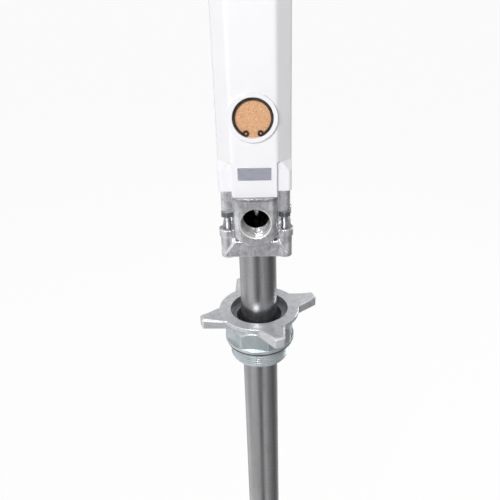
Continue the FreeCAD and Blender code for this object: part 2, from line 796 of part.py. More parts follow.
def makeHousing():
    """Octagonal housing with pilasters front and rear, square bolt columns at its foot and the
    chamfers running out above them; bored for the cylinder, the valve, the silencer and the inlet."""
    body = newBody("motor_housing", z="casting_top")
    wide, deep = "housing_half_width", "housing_column_front"
    face, front = "pilaster_half_width", "pilaster_front"
    upper = newSketch(body, "upper_octagon", "XY_Plane", "runout_rise")
    addOctagon(upper)
    pad(upper, "housing_height - runout_rise")
    dress("Fillet", body, "pilaster_round",
          lambda edge, box: upright(box) and abs(box.YMin) > sheet.housing_column_front)
    dress("Fillet", body, "side_round",
          lambda edge, box: upright(box) and abs(box.XMin) > sheet.housing_half_width - 0.1)
    block = boxSketch(body, "housing_foot", "XY_Plane", [(f"0 - {wide}", f"0 - {deep}", wide, deep)])
    pad(block, "runout_rise")
    dress("Fillet", body, "column_round",
          lambda edge, box: (upright(box) and near(box.ZMin, 0)
                             and abs(box.XMin) > sheet.housing_half_width - 0.1))
    pilaster = boxSketch(body, "pilaster_feet", "XY_Plane", [(f"0 - {face}", f"0 - {front}", face, front)])
    pad(pilaster, "runout_rise")
    near_plane = "((pilaster_half_width + pilaster_front) / sqrt(2))"
    far_plane = "((housing_half_width + housing_column_front) / sqrt(2))"
    runout = newSketch(body, "chamfer_runout", "XZ_Plane")
    runout.AttachmentOffset = FreeCAD.Placement(Vec(), FreeCAD.Rotation(Vec(0, 1, 0), 45))
    addOutline(runout, [
        (near_plane, "runout_rise"),
        (far_plane, "runout_rise - runout_length"),
        (f"{far_plane} + housing_half_width", "runout_rise - runout_length"),
        (f"{far_plane} + housing_half_width", "runout_rise"),
    ])
    cut = pocket(runout, "housing_half_width * 4", Midplane=True)
    around = circleSketch(body, "runout_axis", "XY_Plane", [("0", "0", "rod_radius")])
    polarPattern(cut, around, 4)
    boss = circleSketch(body, "silencer_boss", "XZ_Plane", [("0", "exhaust_rise", "silencer_boss_radius")],
                        "housing_column_front")
    pad(boss, "silencer_boss_front - housing_column_front")
    rear = circleSketch(body, "inlet_boss", "XZ_Plane", [("0", "exhaust_rise", "inlet_boss_radius")],
                        "0 - housing_column_front")
    pad(rear, "inlet_boss_back - housing_column_front", Reversed=True)
    cutSection(body, "cylinder_bore", [
        ("0", "0 - 1"),
        ("gland_recess_radius", "0 - 1"),
        ("gland_recess_radius", "gland_recess_height"),
        ("rod_passage_radius", "gland_recess_height"),
        ("rod_passage_radius", "cylinder_floor - guide_recess_depth"),
        ("guide_radius", "cylinder_floor - guide_recess_depth"),
        ("guide_radius", "cylinder_floor"),
        ("cylinder_radius", "cylinder_floor"),
        ("cylinder_radius", "housing_height + 1"),
        ("0", "housing_height + 1"),
    ])
    mouth = circleSketch(body, "silencer_bore", "XZ_Plane", [("0", "exhaust_rise", "silencer_bore_radius")],
                         "silencer_boss_front - silencer_seat_depth")
    pocket(mouth, "silencer_seat_depth + 1", Reversed=True)
    chamber = circleSketch(body, "silencer_chamber", "XZ_Plane", [("0", "exhaust_rise", "silencer_seat_radius")],
                           "silencer_chamber_back")
    pocket(chamber, "silencer_boss_front - silencer_chamber_back", Reversed=True)
    disc_front = "silencer_boss_front - silencer_seat_depth + silencer_disc_thickness"
    clip = circleSketch(body, "circlip_groove", "XZ_Plane",
                        [("0", "exhaust_rise", "silencer_bore_radius + circlip_groove_depth")], disc_front)
    pocket(clip, "circlip_thickness", Reversed=True)
    inlet = circleSketch(body, "inlet_port", "XZ_Plane", [("0", "exhaust_rise", "inlet_minor_radius")],
                         "0 - inlet_boss_back + inlet_depth")
    pocket(inlet, "inlet_depth + 1")
    passage = circleSketch(body, "inlet_passage", "XZ_Plane", [("0", "exhaust_rise", "inlet_passage_radius")],
                           "0 - valve_back")
    pocket(passage, "inlet_boss_back - valve_back - inlet_depth / 2")
    valve = circleSketch(body, "valve_bore", "YZ_Plane", [("valve_back", "exhaust_rise", "sleeve_radius")])
    pocket(valve, "housing_half_width * 2 + 2", Midplane=True)
    for name, turnedBack in (("right_plug_bore", True), ("left_plug_bore", False)):
        side = "sleeve_half_length" if turnedBack else "0 - sleeve_half_length"
        plug = circleSketch(body, name, "YZ_Plane", [("valve_back", "exhaust_rise", "plug_radius")], side)
        pocket(plug, "housing_half_width", Reversed=turnedBack)
    drills = [(f"{sign} * port_pitch * 2", "exhaust_rise", "exhaust_drill_radius") for sign in (-1, 1)]
    pocket(circleSketch(body, "exhaust_drills", "XZ_Plane", drills, "silencer_chamber_back + 1"),
           "silencer_chamber_back + 1 + valve_back")
    lower_air = circleSketch(body, "lower_air_drill", "XY_Plane",
                             [("port_pitch", "valve_back", "air_drill_radius")], "exhaust_rise")
    pocket(lower_air, "cylinder_floor - exhaust_rise + 1", Reversed=True)
    upper_air = circleSketch(body, "upper_air_drill", "XY_Plane",
                             [("0 - top_drill_x", "top_drill_y", "air_drill_radius")], "exhaust_rise - air_drill_radius")
    pocket(upper_air, "housing_height", Reversed=True)
    inner_x, inner_y = "corner_pad_inner_x", "corner_pad_inner_y"
    corners = []
    for a in (-1, 1):
        for b in (-1, 1):
            near_x, far_x = f"{a} * {inner_x}", f"{a} * ({wide} + 1)"
            near_y, far_y = f"{b} * {inner_y}", f"{b} * ({deep} + 1)"
            corners.append((near_x, near_y, far_x, far_y))
    pocket(boxSketch(body, "column_feet", "XY_Plane", corners), "corner_pad_height", Reversed=True)
    taps = [(x, y, "tie_bolt_radius + running_gap") for x, y in fourCorners("tie_x", "tie_y")]
    pocket(circleSketch(body, "tie_taps", "XY_Plane", taps), "tie_tap_depth", Reversed=True)
    screws = [(x, y, "cap_screw_radius + running_gap")
              for x, y in fourCorners("cap_screw_place", "cap_screw_place")]
    pocket(circleSketch(body, "cap_taps", "XY_Plane", screws, "housing_height"),
           "cap_screw_length - cap_height + cap_screw_head_recess + tap_depth_spare")
    return body


def makeSilencerDisc():
    """Sintered bronze disc against the step in the silencer bore."""
    body = newBody("silencer_disc", turn=towards_front,
                   y="0 - (silencer_boss_front - silencer_seat_depth)", z="exhaust_height")
    face = circleSketch(body, "disc_face", "XY_Plane", [("0", "0", "silencer_bore_radius - running_gap")])
    pad(face, "silencer_disc_thickness")
    return body


def makeCirclip():
    """Internal circlip: a ring with a gap at the bottom and an eyed lug on each side of the gap."""
    back = "silencer_boss_front - silencer_seat_depth + silencer_disc_thickness"
    body = newBody("silencer_circlip", turn=towards_front, y=f"0 - ({back})", z="exhaust_height")
    outer = "(silencer_bore_radius + circlip_groove_depth - running_gap)"
    inner = f"({outer} - circlip_width)"
    pad(circleSketch(body, "clip_disc", "XY_Plane", [("0", "0", outer)]), "circlip_thickness")
    pocket(circleSketch(body, "clip_hole", "XY_Plane", [("0", "0 - circlip_taper", inner)]), Reversed=True)
    gap = newSketch(body, "clip_gap", "XY_Plane")
    reach = f"{outer} * 1.5"
    half = "circlip_gap_angle / 2"
    addOutline(gap, [("0", "0"), (f"0 - {reach} * sin({half})", f"0 - {reach} * cos({half})"),
                     (f"{reach} * sin({half})", f"0 - {reach} * cos({half})")])
    pocket(gap, Reversed=True)
    place = f"({outer} - circlip_lug_reach)"
    spots = [(f"{sign} * {place} * sin({half})", f"0 - {place} * cos({half})") for sign in (-1, 1)]
    pad(circleSketch(body, "clip_lugs", "XY_Plane", [(x, y, "circlip_lug_radius") for x, y in spots]),
        "circlip_thickness")
    pocket(circleSketch(body, "clip_eyes", "XY_Plane", [(x, y, "circlip_lug_hole") for x, y in spots]),
           Reversed=True)
    return body


def makePlate():
    """Plain plate on the front pilaster."""
    body = newBody("front_plate", turn=towards_front, y="0 - pilaster_front", z="casting_top + plate_rise")
    half_width, half_height = "plate_width / 2", "plate_height / 2"
    face = boxSketch(body, "plate_face", "XY_Plane",
                     [(f"0 - {half_width}", f"0 - {half_height}", half_width, half_height)])
    pad(face, "plate_thickness")
    return body


def makeSleeve():
    """Valve sleeve across the housing with a row of five ports drilled through it."""
    inner, outer = "spool_radius + running_gap", "sleeve_radius - running_gap"
    body = ring("valve_sleeve", inner, outer, "sleeve_half_length * 2",
                turn=towards_right, x="0 - sleeve_half_length", y="valve_back", z="exhaust_height")
    places = [("0", f"sleeve_half_length + {n} * port_pitch", "sleeve_port_radius") for n in range(-2, 3)]
    pocket(circleSketch(body, "sleeve_ports", "YZ_Plane", [(x, y, r) for x, y, r in places]), Midplane=True)
    return body


def makeSpool():
    """Three-land spool, shown at the left end of its travel."""
    steps = [
        "spool_end_land", "spool_waist_length", "spool_middle_land", "spool_waist_length", "spool_end_land",
    ]
    section = [("0", "0")]
    at = "0"
    for number, step in enumerate(steps):
        radius = "spool_waist_radius" if number % 2 else "spool_radius"
        section += [(radius, at), (radius, f"{at} + {step}")]
        at = f"{at} + {step}"
    section.append(("0", at))
    return turned("valve_spool", section, turn=towards_right,
                  x=f"0 - ({at} + spool_travel) / 2", y="valve_back", z="exhaust_height")


def makeValvePlugs():
    """Two end plugs with hexagon sockets that close the valve bore at the housing's sides."""
    plugs = []
    length = "(housing_half_width - plug_inset - sleeve_half_length)"
    for side, sign in (("left", -1), ("right", 1)):
        inner = f"{sign} * sleeve_half_length"
        mouth = f"{sign} * (housing_half_width - plug_inset)"
        start = inner if sign > 0 else mouth
        socket_start = f"{mouth} - plug_socket_depth" if sign > 0 else mouth
        blank = primitive("Cylinder", f"{side}_plug_blank", start, "valve_back", "exhaust_height", towards_right,
                          Radius="plug_radius - running_gap", Height=length)
        socket = hexPrism(f"{side}_plug_socket", "plug_socket_flats", "plug_socket_depth",
                          socket_start, "valve_back", "exhaust_height", towards_right)
        plugs.append(joined("Cut", f"{side}_plug", [blank, socket]))
    return joined("Compound", "valve_plugs", plugs)


def makeRodGuide():
    inner, outer = "rod_radius + running_gap", "guide_radius - running_gap"
    return ring("rod_guide", inner, outer, "guide_height", z="cylinder_bottom - guide_recess_depth")


def makeRodSeal():
    inner, outer = "rod_radius + running_gap", "guide_radius - running_gap"
    return ring("rod_seal", inner, outer, "guide_recess_depth - guide_height - seat_gap",
                z="cylinder_bottom - guide_recess_depth + guide_height")


def makeBumpers():
    """Rubber rings on the cylinder floor and under the cap, which end the piston's stroke."""
    rings = []
    lower = "cylinder_bottom"
    upper = "housing_top - cap_spigot_length - bumper_height"
    for name, low in (("lower", lower), ("upper", upper)):
        outer = primitive("Cylinder", f"{name}_bumper_blank", z=low,
                          Radius="bumper_outer_radius", Height="bumper_height")
        inner = primitive("Cylinder", f"{name}_bumper_hole", z=low,
                          Radius="bumper_inner_radius", Height="bumper_height")
        rings.append(joined("Cut", f"{name}_bumper", [outer, inner]))
    return joined("Compound", "bumper_rings", rings)


def makeAirPiston():
    """Disc with a seal groove round it and a recess for its nut."""
    outer = "cylinder_radius - running_gap"
    low = "(piston_height - piston_seal_height) / 2"
    high = "(piston_height + piston_seal_height) / 2"
    return turned("air_piston", [
        ("rod_stub_radius + running_gap", "0"),
        (outer, "0"),
        (outer, low),
        (f"{outer} - piston_seal_depth", low),
        (f"{outer} - piston_seal_depth", high),
        (outer, high),
        (outer, "piston_height"),
        ("piston_nut_recess_radius", "piston_height"),
        ("piston_nut_recess_radius", "piston_height - piston_nut_recess"),
        ("rod_stub_radius + running_gap", "piston_height - piston_nut_recess"),
    ], z="air_piston_bottom")


def makeAirPistonSeal():
    outer = "cylinder_radius - running_gap / 2"
    inner = "cylinder_radius - piston_seal_depth"
    return ring("air_piston_seal", inner, outer, "piston_seal_height",
                z="air_piston_bottom + (piston_height - piston_seal_height) / 2")


def makePistonNut():
    low = "air_piston_bottom + piston_height - piston_nut_recess"
    blank = hexPrism("piston_nut_blank", "piston_nut_flats", "piston_nut_height", "0", "0", low)
    hole = primitive("Cylinder", "piston_nut_hole", z=low, Radius="rod_stub_radius + running_gap",
                     Height="piston_nut_height")
    return joined("Cut", "piston_nut", [blank, hole])


def makePistonRod():
    """Polished rod with a thinner stub through the air piston and one in the coupling."""
    low = "(coupling_top - coupling_grip)"
    shoulder = f"air_piston_bottom - {low}"
    top = f"{shoulder} + piston_height - piston_nut_recess + piston_nut_height"
    return turned("piston_rod", [
        ("0", "0"),
        ("rod_stub_radius", "0"),
        ("rod_stub_radius", "coupling_grip"),
        ("rod_radius", "coupling_grip"),
        ("rod_radius", shoulder),
        ("rod_stub_radius", shoulder),
        ("rod_stub_radius", top),
        ("0", top),
    ], z=low)


def makeCoupling():
    low = "coupling_top - coupling_length"
    blank = hexPrism("rod_coupling_blank", "coupling_flats", "coupling_length", "0", "0", low)
    hole = primitive("Cylinder", "rod_coupling_hole", z=low, Radius="rod_stub_radius + running_gap",
                     Height="coupling_length")
    return joined("Cut", "rod_coupling", [blank, hole])


def makePumpRod():
    low = "(pump_piston_bottom + pump_piston_height - pump_rod_grip)"
    top = "coupling_top - coupling_length + coupling_grip"
    body = newBody("pump_rod", z=low)
    pad(circleSketch(body, "pump_rod_section", "XY_Plane", [("0", "0", "pump_rod_radius")]), f"{top} - {low}")
    return body


def makePumpPiston():
    """Piston with a ball seat below, a cage for the ball and flow holes round the rod's thread."""
    outer = "(tube_bore - pump_piston_gap)"
    seal_top = "pump_seal_rise + pump_seal_height"
    roof = "pump_ball_rise + pump_ball_radius + pump_ball_lift + seat_gap"
    body = turned("pump_piston", [
        ("pump_seat_radius", "0"),
        (outer, "0"),
        (outer, "pump_seal_rise"),
        (f"{outer} - pump_seal_depth", "pump_seal_rise"),
        (f"{outer} - pump_seal_depth", seal_top),
        (outer, seal_top),
        (outer, "pump_piston_height"),
        ("0", "pump_piston_height"),
        ("0", roof),
        ("pump_cage_radius", roof),
        ("pump_cage_radius", "pump_seat_rise + pump_cage_radius - pump_seat_radius"),
        ("pump_seat_radius", "pump_seat_rise"),
    ], z="pump_piston_bottom")
    socket = circleSketch(body, "pump_rod_socket", "XY_Plane", [("0", "0", "pump_rod_radius + running_gap")],
                          "pump_piston_height")
    pocket(socket, "pump_rod_grip")
    hole = circleSketch(body, "flow_hole", "XY_Plane", [("pump_flow_hole_place", "0", "pump_flow_hole_radius")],
                        "pump_piston_height")
    polarPattern(pocket(hole, f"pump_piston_height - ({roof}) + 1"), hole, 4)
    return body


def makePumpSeal():
    outer = "tube_bore - running_gap"
    inner = "tube_bore - pump_piston_gap - pump_seal_depth + running_gap"
    return ring("pump_piston_seal", inner, outer, "pump_seal_height", z="pump_piston_bottom + pump_seal_rise")


def makePumpBall():
    return primitive("Sphere", "pump_piston_ball", z="pump_piston_bottom + pump_ball_rise",
                     Radius="pump_ball_radius")


def makeFootBall():
    return primitive("Sphere", "foot_ball", z="tube_bottom + foot_ball_rise", Radius="foot_ball_radius")


def makeFootValve():
    """Foot valve body: collar below the tube, spigot inside it, ball seat, cage and pin holes."""
    spigot = "tube_bore - running_gap"
    body = turned("foot_valve_body", [
        ("foot_seat_radius", "0 - foot_collar_height"),
        ("tube_radius", "0 - foot_collar_height"),
        ("tube_radius", "0"),
        (spigot, "0"),
        (spigot, "foot_spigot_height"),
        ("foot_cage_radius", "foot_spigot_height"),
        ("foot_cage_radius", "foot_seat_rise + foot_cage_radius - foot_seat_radius"),
        ("foot_seat_radius", "foot_seat_rise"),
    ], z="tube_bottom")
    hole = circleSketch(body, "foot_pin_hole", "YZ_Plane", [
        ("0", "foot_pin_rise", "foot_pin_radius + running_gap"),
    ])
    pocket(hole, "tube_radius * 2", Midplane=True)
    return body


def makeFootPin():
    """Pin across the foot valve that stops its ball."""
    reach = "(tube_bore - running_gap - seat_gap)"
    body = newBody("foot_ball_pin", turn=towards_right, x=f"0 - {reach}", z="tube_bottom + foot_pin_rise")
    pad(circleSketch(body, "pin_section", "XY_Plane", [("0", "0", "foot_pin_radius")]), f"{reach} * 2")
    return body


def makeStrainer():
    """Cup under the foot valve with a hole in its floor and slots round its wall."""
    body = turned("suction_strainer", [
        ("strainer_hole_radius", "0 - strainer_height"),
        ("tube_radius", "0 - strainer_height"),
        ("tube_radius", "0"),
        ("tube_radius - strainer_wall", "0"),
        ("tube_radius - strainer_wall", "strainer_wall - strainer_height"),
        ("strainer_hole_radius", "strainer_wall - strainer_height"),
    ], z="tube_bottom - foot_collar_height")
    high = "0 - (strainer_height - strainer_slot_height) / 2"
    half = "strainer_slot_width / 2"
    slot = boxSketch(body, "strainer_slot", "YZ_Plane",
                     [(f"0 - {half}", f"{high} - strainer_slot_height", half, high)], "tube_radius - strainer_wall - 1")
    axis = circleSketch(body, "strainer_axis", "XY_Plane", [("0", "0", "strainer_hole_radius")])
    polarPattern(pocket(slot, "strainer_wall + 2", Reversed=True), axis, sheet.strainer_slots)
    return body


def makeTopCap():
    """Cap with the housing's outline, a spigot in the cylinder and recesses for its screws."""
    body = newBody("top_cap", z="housing_top")
    outline = newSketch(body, "cap_octagon", "XY_Plane")
    addOctagon(outline)
    pad(outline, "cap_height")
    dress("Fillet", body, "pilaster_round",
          lambda edge, box: upright(box) and abs(box.YMin) > sheet.housing_column_front)
    dress("Fillet", body, "side_round",
          lambda edge, box: upright(box) and abs(box.XMin) > sheet.housing_half_width - 0.1)
    dress("Chamfer", body, "cap_edge", lambda edge, box: near(box.ZMin, sheet.cap_height))
    spigot = newSketch(body, "cap_spigot", "XZ_Plane")
    outer = "cylinder_radius - running_gap"
    ring_low = "0 - cap_spigot_length / 2 - cap_ring_height / 2"
    ring_high = "0 - cap_spigot_length / 2 + cap_ring_height / 2"
    addOutline(spigot, [
        ("cap_spigot_bore", "0 - cap_spigot_length"),
        (outer, "0 - cap_spigot_length"),
        (outer, ring_low),
        (f"{outer} - cap_ring_depth", ring_low),
        (f"{outer} - cap_ring_depth", ring_high),
        (outer, ring_high),
        (outer, "0"),
        ("cap_spigot_bore", "0"),
    ])
    revolve(spigot)
    places = fourCorners("cap_screw_place", "cap_screw_place")
    holes = circleSketch(body, "cap_screw_holes", "XY_Plane",
                         [(x, y, "cap_screw_radius + loose_gap") for x, y in places], "cap_height")
    pocket(holes)
    recesses = circleSketch(body, "cap_screw_recesses", "XY_Plane",
                            [(x, y, "cap_screw_head_radius + loose_gap") for x, y in places], "cap_height")
    pocket(recesses, "cap_screw_head_recess")
    channel = boxSketch(body, "air_channel", "XY_Plane",
                        [("0 - top_drill_x - air_drill_radius", "cap_spigot_bore - air_drill_radius * 2",
                          "0 - top_drill_x + air_drill_radius", "top_drill_y + air_drill_radius")],
                        "0 - cap_spigot_length")
    pocket(channel, "cap_spigot_length + air_drill_radius * 2", Reversed=True)
    return body


def makeCapRing():
    outer = "cylinder_radius - running_gap"
    inner = "cylinder_radius - cap_ring_depth"
    return ring("cap_o_ring", inner, outer, "cap_ring_height",
                z="housing_top - cap_spigot_length / 2 - cap_ring_height / 2")


def makeCapScrews():
    screws = []
    head_low = "housing_top + cap_height - cap_screw_head_recess"
    shank_low = f"{head_low} - cap_screw_length"
    for number, (x, y) in enumerate(fourCorners("cap_screw_place", "cap_screw_place")):
        screws.append(socketScrew(
            f"cap_screw_{number + 1}", x, y, head_low, "cap_screw_head_radius", "cap_screw_head_height",
            "cap_screw_radius", shank_low, "cap_screw_length",
            f"{head_low} + cap_screw_head_height - screw_socket_depth"))
    return joined("Compound", "cap_screws", screws)


made = [
    makeGasket(), makeAdapterBody(), makeGripRing(), makeThrustWasher(), makeStarNut(),
    makeOutletBody(), makeTube(), makeTubeRing(), makeGlandPacking(), makeGlandNut(), makeGlandBush(),
    makeMotorRing(), makeTieBolts(), makeTieNuts(),
    makeHousing(), makeSilencerDisc(), makeCirclip(), makePlate(),
    makeSleeve(), makeSpool(), makeValvePlugs(), makeRodGuide(), makeRodSeal(), makeBumpers(),
    makeAirPiston(), makeAirPistonSeal(), makePistonNut(), makePistonRod(), makeCoupling(), makePumpRod(),
    makePumpPiston(), makePumpSeal(), makePumpBall(),
    makeFootValve(), makeFootBall(), makeFootPin(), makeStrainer(),
    makeTopCap(), makeCapRing(), makeCapScrews(),
]
doc.recompute()

# Nothing is written unless every feature is sound and every piece is a valid solid.
for item in doc.Objects:
    if "Invalid" in item.State or "Error" in item.State:
        raise RuntimeError(f"{item.Name} is {item.State}")
for item in made:
    if item.Shape.isNull() or not item.Shape.isValid() or not item.Shape.Solids:
        raise RuntimeError(f"{item.Label} has no valid solid")

os.makedirs("parts", exist_ok=True)
for item in made:
    item.Shape.exportStep(f"parts/{item.Label}.step")
    bounds = item.Shape.BoundBox
    print(f"{item.Label}: {len(item.Shape.Solids)} solid, z {bounds.ZMin:.1f} to {bounds.ZMax:.1f}")
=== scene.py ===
import json
import math
import bpy
from mathutils import Matrix, Vector

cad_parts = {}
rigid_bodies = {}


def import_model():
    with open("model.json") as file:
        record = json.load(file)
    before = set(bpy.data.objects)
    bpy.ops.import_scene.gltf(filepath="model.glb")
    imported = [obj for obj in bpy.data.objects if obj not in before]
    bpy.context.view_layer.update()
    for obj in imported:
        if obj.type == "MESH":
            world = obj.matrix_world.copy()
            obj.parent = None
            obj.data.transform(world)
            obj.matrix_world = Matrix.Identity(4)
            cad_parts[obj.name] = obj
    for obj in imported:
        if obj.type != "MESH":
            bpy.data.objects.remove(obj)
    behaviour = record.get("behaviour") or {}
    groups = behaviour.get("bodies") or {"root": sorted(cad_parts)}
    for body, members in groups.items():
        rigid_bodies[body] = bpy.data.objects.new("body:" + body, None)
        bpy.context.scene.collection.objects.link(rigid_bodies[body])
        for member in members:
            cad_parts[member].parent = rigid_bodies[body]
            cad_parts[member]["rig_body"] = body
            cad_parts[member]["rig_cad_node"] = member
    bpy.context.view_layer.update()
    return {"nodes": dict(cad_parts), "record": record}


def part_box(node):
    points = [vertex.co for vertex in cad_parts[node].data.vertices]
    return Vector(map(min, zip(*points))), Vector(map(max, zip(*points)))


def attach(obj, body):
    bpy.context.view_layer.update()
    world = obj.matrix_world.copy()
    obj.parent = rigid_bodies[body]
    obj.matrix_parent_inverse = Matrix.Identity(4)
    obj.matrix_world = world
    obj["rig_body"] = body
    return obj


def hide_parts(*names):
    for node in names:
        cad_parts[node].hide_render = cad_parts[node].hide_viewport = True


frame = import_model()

nodes = frame["nodes"]
mm = 0.001
print("frame loaded:", len(nodes), "nodes")


# Shader maths: a wire is one socket of a node tree, and sums and products on it add Math nodes.

class Wire:
    def __init__(self, graph, socket):
        self.graph, self.socket = graph, socket

    def math(self, operation, *terms):
        return self.graph.add("ShaderNodeMath", {"operation": operation}, [self, *terms])["Value"]

    def __add__(self, other):
        return self.math("ADD", other)

    def __mul__(self, other):
        return self.math("MULTIPLY", other)

    def __sub__(self, other):
        return self.math("SUBTRACT", other)

    def __rsub__(self, other):
        return self.graph.add("ShaderNodeMath", {"operation": "SUBTRACT"}, [other, self])["Value"]

    def __truediv__(self, other):
        return self.math("DIVIDE", other)

    __radd__ = __add__
    __rmul__ = __mul__

    def above(self, edge):
        return self.math("GREATER_THAN", edge)

    def below(self, edge):
        return self.math("LESS_THAN", edge)

    def between(self, low, high):
        return self.above(low) * self.below(high)

    def ramp(self, low, high, start=0.0, end=1.0):  # straight ramp from start at low to end at high
        sockets = {"Value": self, "From Min": low, "From Max": high, "To Min": start, "To Max": end}
        return self.graph.add("ShaderNodeMapRange", {"clamp": True}, sockets)["Result"]


class Graph:  # the nodes of a material or of the world
    def __init__(self, tree):
        self.tree = tree

    def link(self, socket, value):
        if isinstance(value, Wire):
            self.tree.links.new(value.socket, socket)
        elif socket.type == "RGBA" and len(value) == 3:
            socket.default_value = (*value, 1)
        else:
            socket.default_value = value

    def add(self, kind, settings=None, sockets=()):
        node = self.tree.nodes.new(kind)
        for key, value in (settings or {}).items():
            if key == "stops":
                stops = node.color_ramp.elements
                while len(stops) < len(value):
                    stops.new(0.5)
                for stop, (place, colour) in zip(stops, value):
                    stop.position, stop.color = place, (*colour, 1)
            else:
                setattr(node, key, value)
        pairs = sockets.items() if isinstance(sockets, dict) else enumerate(sockets)
        for key, value in pairs:
            self.link(node.inputs[key], value)
        return {socket.name: Wire(self, socket) for socket in node.outputs if socket.enabled}

    def place(self):  # millimetres in the part's own frame
        spot = self.add("ShaderNodeTexCoord")["Object"]
        return self.add("ShaderNodeVectorMath", {"operation": "SCALE"}, {0: spot, "Scale": 1 / mm})["Vector"]

    def split(self, vector):
        parts = self.add("ShaderNodeSeparateXYZ", None, [vector])
        return parts["X"], parts["Y"], parts["Z"]

    def stretch(self, vector, x, y, z):
        return self.add("ShaderNodeVectorMath", {"operation": "MULTIPLY"}, [vector, (x, y, z)])["Vector"]

    def dot(self, first, second):
        return self.add("ShaderNodeVectorMath", {"operation": "DOT_PRODUCT"}, [first, second])["Value"]

    def noise(self, vector, size, detail=3.0, roughness=0.5):  # size of its lumps in millimetres
        sockets = {"Vector": vector, "Scale": 1 / size, "Detail": detail, "Roughness": roughness}
        return self.add("ShaderNodeTexNoise", None, sockets)["Fac"]

    def mix(self, factor, first, second):
        colours = {0: factor, 6: first, 7: second}  # the node's sockets for a factor and two colours
        return self.add("ShaderNodeMix", {"data_type": "RGBA"}, colours)["Result"]

    def bump(self, height, depth, normal=None):  # depth in millimetres for a height from 0 to 1
        sockets = {"Height": height, "Distance": depth * mm, "Strength": 1.0}
        if normal:
            sockets["Normal"] = normal
        return self.add("ShaderNodeBump", None, sockets)["Normal"]

    def faceNormal(self):
        return self.add("ShaderNodeNewGeometry")["Normal"]

    def softEdge(self, radius):  # rounds sharp edges in the light, radius in millimetres
        return self.add("ShaderNodeBevel", {"samples": 4}, {"Radius": radius * mm})["Normal"]

    def flatness(self, soft):  # 1 on a flat face, less beside an edge, where the soft normal turns
        return self.dot(soft, self.faceNormal())

    def grooves(self, along, angle, pitch):  # a thread's flanks, from 0 in the root to 1 on the crest
        turn = (along / pitch + angle / (2 * math.pi)).math("FRACT")
        return (turn - 0.5).math("ABSOLUTE") * 2


class Shader(Graph):  # one material with its Principled shader
    def __init__(self, name, sockets=None):
        self.material = bpy.data.materials.new(name)
        self.material.use_nodes = True
        super().__init__(self.material.node_tree)
        self.principled = self.tree.nodes["Principled BSDF"]
        self.set(sockets or {})

    def set(self, sockets):
        for key, value in sockets.items():
            self.link(self.principled.inputs[key], value)


# Finishes: one for each metal, paint or rubber of the pump. Lengths and places are in millimetres.

def whitePaint():
    look = {"colour": (0.86, 0.86, 0.885), "dusty": 0.965, "dustSize": 38.0, "peelSize": 2.6,
            "peelDepth": 0.012, "edge": 0.9, "rough": (0.19, 0.27), "coat": 0.5, "coatRough": 0.06,
            "bare": (0.62, 0.62, 0.63), "bareMetallic": 0.8, "bareRougher": 0.12,
            "foot": 168.1, "cylinderRadius": 25.1, "cylinderFoot": 250.0,
            "inletHeight": 236.5, "inletRadius": 6.6, "inletBack": 28.9, "inletFront": 40.9,
            "pitch": 1.337, "threadDepth": 0.4, "threadFoot": 200.0}
    paint = Shader("whitePaint", {"Coat Roughness": look["coatRough"]})
    place = paint.place()
    x, y, z = paint.split(place)
    rise = z - look["inletHeight"]
    inInlet = (x * x + rise * rise).math("SQRT").below(look["inletRadius"])
    inInlet = inInlet * y.between(look["inletBack"], look["inletFront"])
    inCylinder = (x * x + y * y).below(look["cylinderRadius"] ** 2) * z.above(look["cylinderFoot"])
    bare = (inInlet + z.below(look["foot"]) + inCylinder).math("MINIMUM", 1.0)
    peel = paint.noise(place, look["peelSize"], 2.0)
    dust = paint.noise(place, look["dustSize"], 4.0)
    dusty = tuple(look["dusty"] * value for value in look["colour"])
    shade = paint.mix(dust.ramp(0.35, 0.75), look["colour"], dusty)
    shade = paint.mix(bare, shade, look["bare"])
    normal = paint.bump(peel, look["peelDepth"], paint.softEdge(look["edge"]))
    thread = paint.grooves(y, x.math("ARCTAN2", rise), look["pitch"])
    thread = thread * bare * y.above(look["inletBack"]) * z.above(look["threadFoot"])
    paint.set({
        "Base Color": shade,
        "Roughness": dust.ramp(0.3, 0.7, *look["rough"]) + bare * look["bareRougher"],
        "Metallic": bare * look["bareMetallic"],
        "Coat Weight": look["coat"] - bare * look["coat"],
        "Normal": paint.bump(thread, look["threadDepth"], normal),
    })
    return paint


